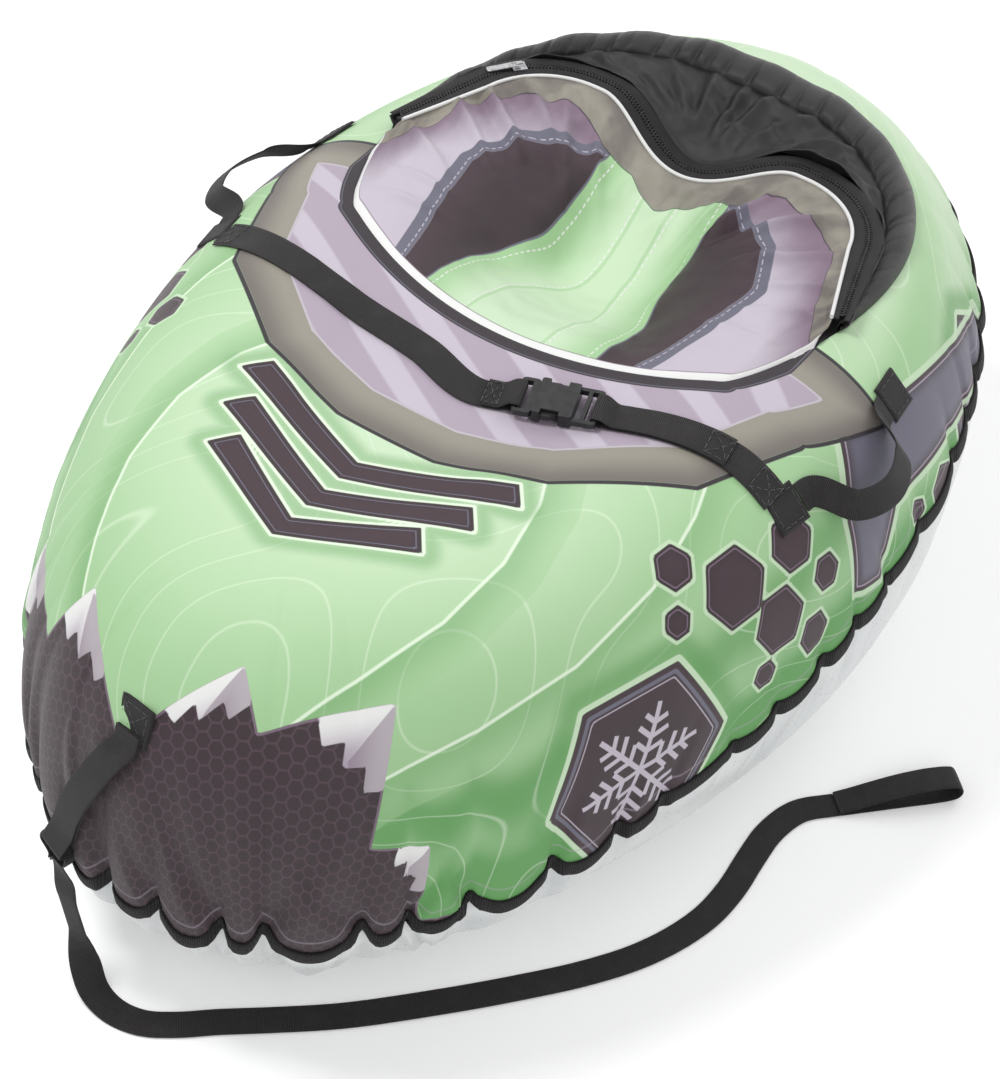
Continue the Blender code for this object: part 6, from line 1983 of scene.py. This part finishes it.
def strap_eye(finish, centre, side, joint_at):
    """The strap's narrow end, folded through the loop and sewn to itself."""
    down = joint_at - centre
    length = down.length
    down.normalize()
    face = side.cross(down).normalized()
    gap = 0.0006
    half = STRAP_WIDTH / 2 + gap * 4
    inside = TOW_BEND_RADIUS * math.cos(math.radians(15)) - WEBBING_THICKNESS / 2 - LAYER_GAP
    drop = math.sqrt(inside**2 - (EYE_WIDTH / 2) ** 2) - WEBBING_THICKNESS / 2
    joint = (WEBBING_THICKNESS + LAYER_GAP) / 2
    shape = [
        (joint, length - gap * 2),
        (joint * 2, length - gap * 12),
        (half, drop + half * 0.9),
        (half + gap, drop + half * 0.35),
        (half - gap, drop + gap * 2),
        (half - gap * 6, drop),
    ]
    route = shape + [(-x, z) for x, z in reversed(shape)]
    points = [centre + side * x + down * z for x, z in route]
    return ribbon("tow_eye_webbing", points, [face] * len(points), EYE_WIDTH, finish, 0.0014)


def smooth_points(points, between):
    """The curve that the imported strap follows."""
    knots = [0.0]
    for a, b in zip(points, points[1:]):
        knots.append(knots[-1] + (b - a).length)
    slopes = []
    for i in range(len(points)):
        before, after = max(i - 1, 0), min(i + 1, len(points) - 1)
        slopes.append((points[after] - points[before]) / (knots[after] - knots[before]))
        if before < i < after:
            h0, h1 = knots[i] - knots[before], knots[after] - knots[i]
            first = (points[i] - points[before]) / h0
            second = (points[after] - points[i]) / h1
            slopes[i] = (first * h1 + second * h0) / (h0 + h1)
    found = []
    for i in range(len(points) - 1):
        ends = points[i], points[i + 1], slopes[i], slopes[i + 1], knots[i + 1] - knots[i]
        found += [hermite(*ends, k / between) for k in range(between)]
    return found + [points[-1]]


def tow_strap(finish, joint_at, first_side):
    """The strap from its eye down to the floor, turned flat as it comes down."""
    line = smooth_points([joint_at] + [Vector(p) for p in TOW_ROUTE], 3)
    sides = []
    for i, place in enumerate(line):
        way = (line[min(i + 1, len(line) - 1)] - line[max(i - 1, 0)]).normalized()
        hanging = min(1.0, place.z / (RING_HEIGHT / 8))
        flat = Vector((-way.y, way.x, 0)).normalized()
        sides.append(first_side * hanging + flat * (1 - hanging))
    return ribbon("tow_strap_webbing", line, sides, STRAP_WIDTH, finish, 0.0025), line


def hand_loop(finish, line):
    """The hand loop that lies on the floor at the strap's end."""
    end = line[-1]
    way = (line[-1] - line[-2]).normalized()
    way.z = 0
    side = Vector((-way.y, way.x, 0))
    start = end + way * LAYER_GAP * 2
    half, shares = HAND_LOOP_HALF, (0.0, 0.12, 0.3, 0.55, 0.8)
    centres = []
    for s in shares:
        lift = half * math.sin(math.pi * min(1.0, s * 0.62)) ** 1.2
        up = Vector((0, 0, lift * 2 + WEBBING_THICKNESS * 1.2))
        centres.append(start + way * HAND_LOOP_LENGTH * s + up)
    tip = start + way * (HAND_LOOP_LENGTH - half)
    height = half + WEBBING_THICKNESS * 0.6
    for angle in (math.pi / 2 - math.pi * i / 6 for i in range(7)):
        centres.append(tip + way * half * math.cos(angle) + Vector((0, 0, half * math.sin(angle) + height)))
    centres += [start + way * HAND_LOOP_LENGTH * s for s in reversed(shares)]
    centres = [Vector((p.x, p.y, max(p.z, end.z))) for p in centres]
    return ribbon("hand_loop_webbing", centres, [side] * len(centres), STRAP_WIDTH, finish, 0.002)


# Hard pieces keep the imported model's shape, with finer edges


def refine(node, finish, width=0.0006, segments=3):
    """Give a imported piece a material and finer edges."""
    item = frame["nodes"][node]
    if width:
        bevel = item.modifiers.new("edges", "BEVEL")
        bevel.width = width
        bevel.segments = segments
        bevel.limit_method = "ANGLE"
        bevel.angle_limit = math.radians(32)
    item.data.materials.clear()
    item.data.materials.append(finish)


def refine_hard_pieces():
    plastic = moulded_material("buckle_plastic", (24, 24, 25), (38, 38, 39))
    for node in ("buckle_plug", "buckle_socket", "buckle_prong_front", "buckle_prong_rear"):
        refine(node, plastic)
    metal = metal_material()
    refine("zip_slider", metal)
    refine("zip_pull", metal, 0.0002, 2)
    refine("valve_stem", moulded_material("valve_rubber", (30, 29, 29), (48, 46, 46)), 0.0003)
    refine("valve_cap", moulded_material("cap_plastic", (30, 30, 31), (44, 44, 45)), 0.0003)
    refine("inner_tube", moulded_material("tube_rubber", (34, 32, 32), (52, 49, 49), 0.0001), 0.0)


def build_cloth():
    """The cloth pieces, and the opening's lines, which the zip needs too."""
    deck_field = HeightField("top_cover", 0.006)
    tube_field = HeightField("inner_tube", 0.004)
    cover, side = printed_cover(deck_field)
    base = base_sheet()
    band = binding_band(side)
    opening = Opening(deck_field)
    seat = seat_sheet(opening, HeightField("seat_panel", 0.005), tube_field)
    well = well_sheet(opening, HeightField("seat_well", 0.005), tube_field)
    return opening, (cover, base, seat, well, rim_pad(tube_field), band)


def build_zip(opening):
    """The zip's tapes, its coil and the piping along its front edge."""
    tape = webbing_material("zip_tape", 0.0009)
    gap = np.full(SEAT_COLUMNS, ZIP_GAP)
    near = offset_strip("zip_tape_near", opening, -opening.half, -gap, tape)
    far = offset_strip("zip_tape_far", opening, gap, opening.half, tape)
    teeth = coil_teeth(opening)
    plan = opening.beside(-(opening.half + 0.0012))
    line = [Vector((p[0], p[1], z + 0.0012)) for p, z in zip(plan, opening.zip[:, 2])]
    return near, far, teeth, rod("zip_piping", line[::2], PIPING_RADIUS, piping_material())


def buckle_place():
    """The buckle's frame: X from the plug to the socket, Z out of the seat."""
    joints = {j["name"]: j for j in frame["joints"]}
    x_way = -Vector(joints["buckle_release"]["axis"]).normalized()
    z_way = Vector(joints["prong_front_squeeze"]["axis"]).normalized()
    turned = Matrix((x_way, z_way.cross(x_way), z_way)).transposed().to_4x4()
    return Matrix.Translation(BUCKLE_CENTRE) @ turned


def build_belt(tree, stitch):
    finish = webbing_material("belt_webbing", 0.0015)
    place = buckle_place()
    flipped = place @ Matrix.Rotation(math.pi, 4, "Z")
    left, left_back, left_run = belt_half(
        "belt_left_webbing", tree, LEFT_ROUTE, place, PLUG_BAR, SEWN_END, finish
    )
    right, right_back, right_run = belt_half(
        "belt_right_webbing", tree, RIGHT_ROUTE, flipped, -LADDER_END, SEWN_END * 4, finish
    )
    left_sewn = belt_stitches("belt_left_stitches", left_back, stitch)
    belt_stitches("belt_right_stitches", right_back, stitch)
    belt_stitches("belt_left_root_stitches", left_run, stitch)
    belt_stitches("belt_right_root_stitches", right_run, stitch)
    held, loose = (place @ Vector((PLUG_BAR - x, 0, 0)) for x in (BELT_BLEND, 0))
    for item in (left, left_sewn):
        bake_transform(item, "tube", "plug", held, loose)
    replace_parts(left, "belt_strap_left")
    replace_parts(right, "belt_strap_right")


def build_handles(webbing, stitch):
    patches = {}
    for side_name, on_left in (("right", False), ("left", True)):
        for end, turn in (("rear", HANDLE_FIRST_ANGLE), ("front", HANDLE_LAST_ANGLE)):
            node = "handle_patch_%s_%s" % (side_name, end)
            place = frame_of_patch(node, math.pi - turn if on_left else turn)
            patches[side_name, end] = place
            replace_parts(fold_patch(node + "_webbing", place, webbing), node)
            stitches(node + "_stitches", box_lines(place, PATCH_SIZE * 0.37), stitch)
    for side_name, on_left in (("right", False), ("left", True)):
        rear, front = patches[side_name, "rear"], patches[side_name, "front"]
        grip = grab_handle(side_name, on_left, rear, front, webbing)
        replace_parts(grip, "handle_" + side_name)


def ride_with_tube():
    """Whatever has no body of its own by now rides with the tube."""
    for item in bpy.context.scene.objects:
        fixed = item.type == "MESH" and item.parent is None and "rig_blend" not in item
        if fixed and item.name != "floor":
            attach(item, "tube")


def build():
    make_camera()
    make_stage()
    webbing = webbing_material("webbing")
    stitch = thread_material()
    loop, eye, strap, hand, line = tow_assembly(webbing, stitch)
    opening, cloth = build_cloth()
    cover, base, seat, well, rim, band = cloth
    near_tape, far_tape, teeth, piping = build_zip(opening)
    build_belt(tree_of([cover, seat]), stitch)
    build_handles(webbing, stitch)
    refine_hard_pieces()
    for item, node in (
        (cover, "top_cover"),
        (base, "base_cover"),
        (band, "edge_binding"),
        (seat, "seat_panel"),
        (well, "seat_well"),
        (rim, "rim_padding"),
        (near_tape, "zip_tape_front"),
        (far_tape, "zip_tape_rear"),
        (teeth, "zip_coil"),
        (piping, "edge_piping"),
        (loop, "tow_loop"),
        (eye, "tow_strap_eye"),
        (strap, "tow_strap"),
        (hand, "tow_hand_loop"),
        (bpy.data.objects["tow_patch_webbing_ply_1"], "tow_patch"),
    ):
        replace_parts(item, node)
    for item in (cover, base, seat, well):
        thicken(item, SHEET_THICKNESS)
    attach(eye, "tow_tab")
    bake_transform(strap, "tow_tab", "tube", line[0], line[0] - Vector((0, 0, line[0].z - STRAP_WIDTH / 2)))
    ride_with_tube()


build()
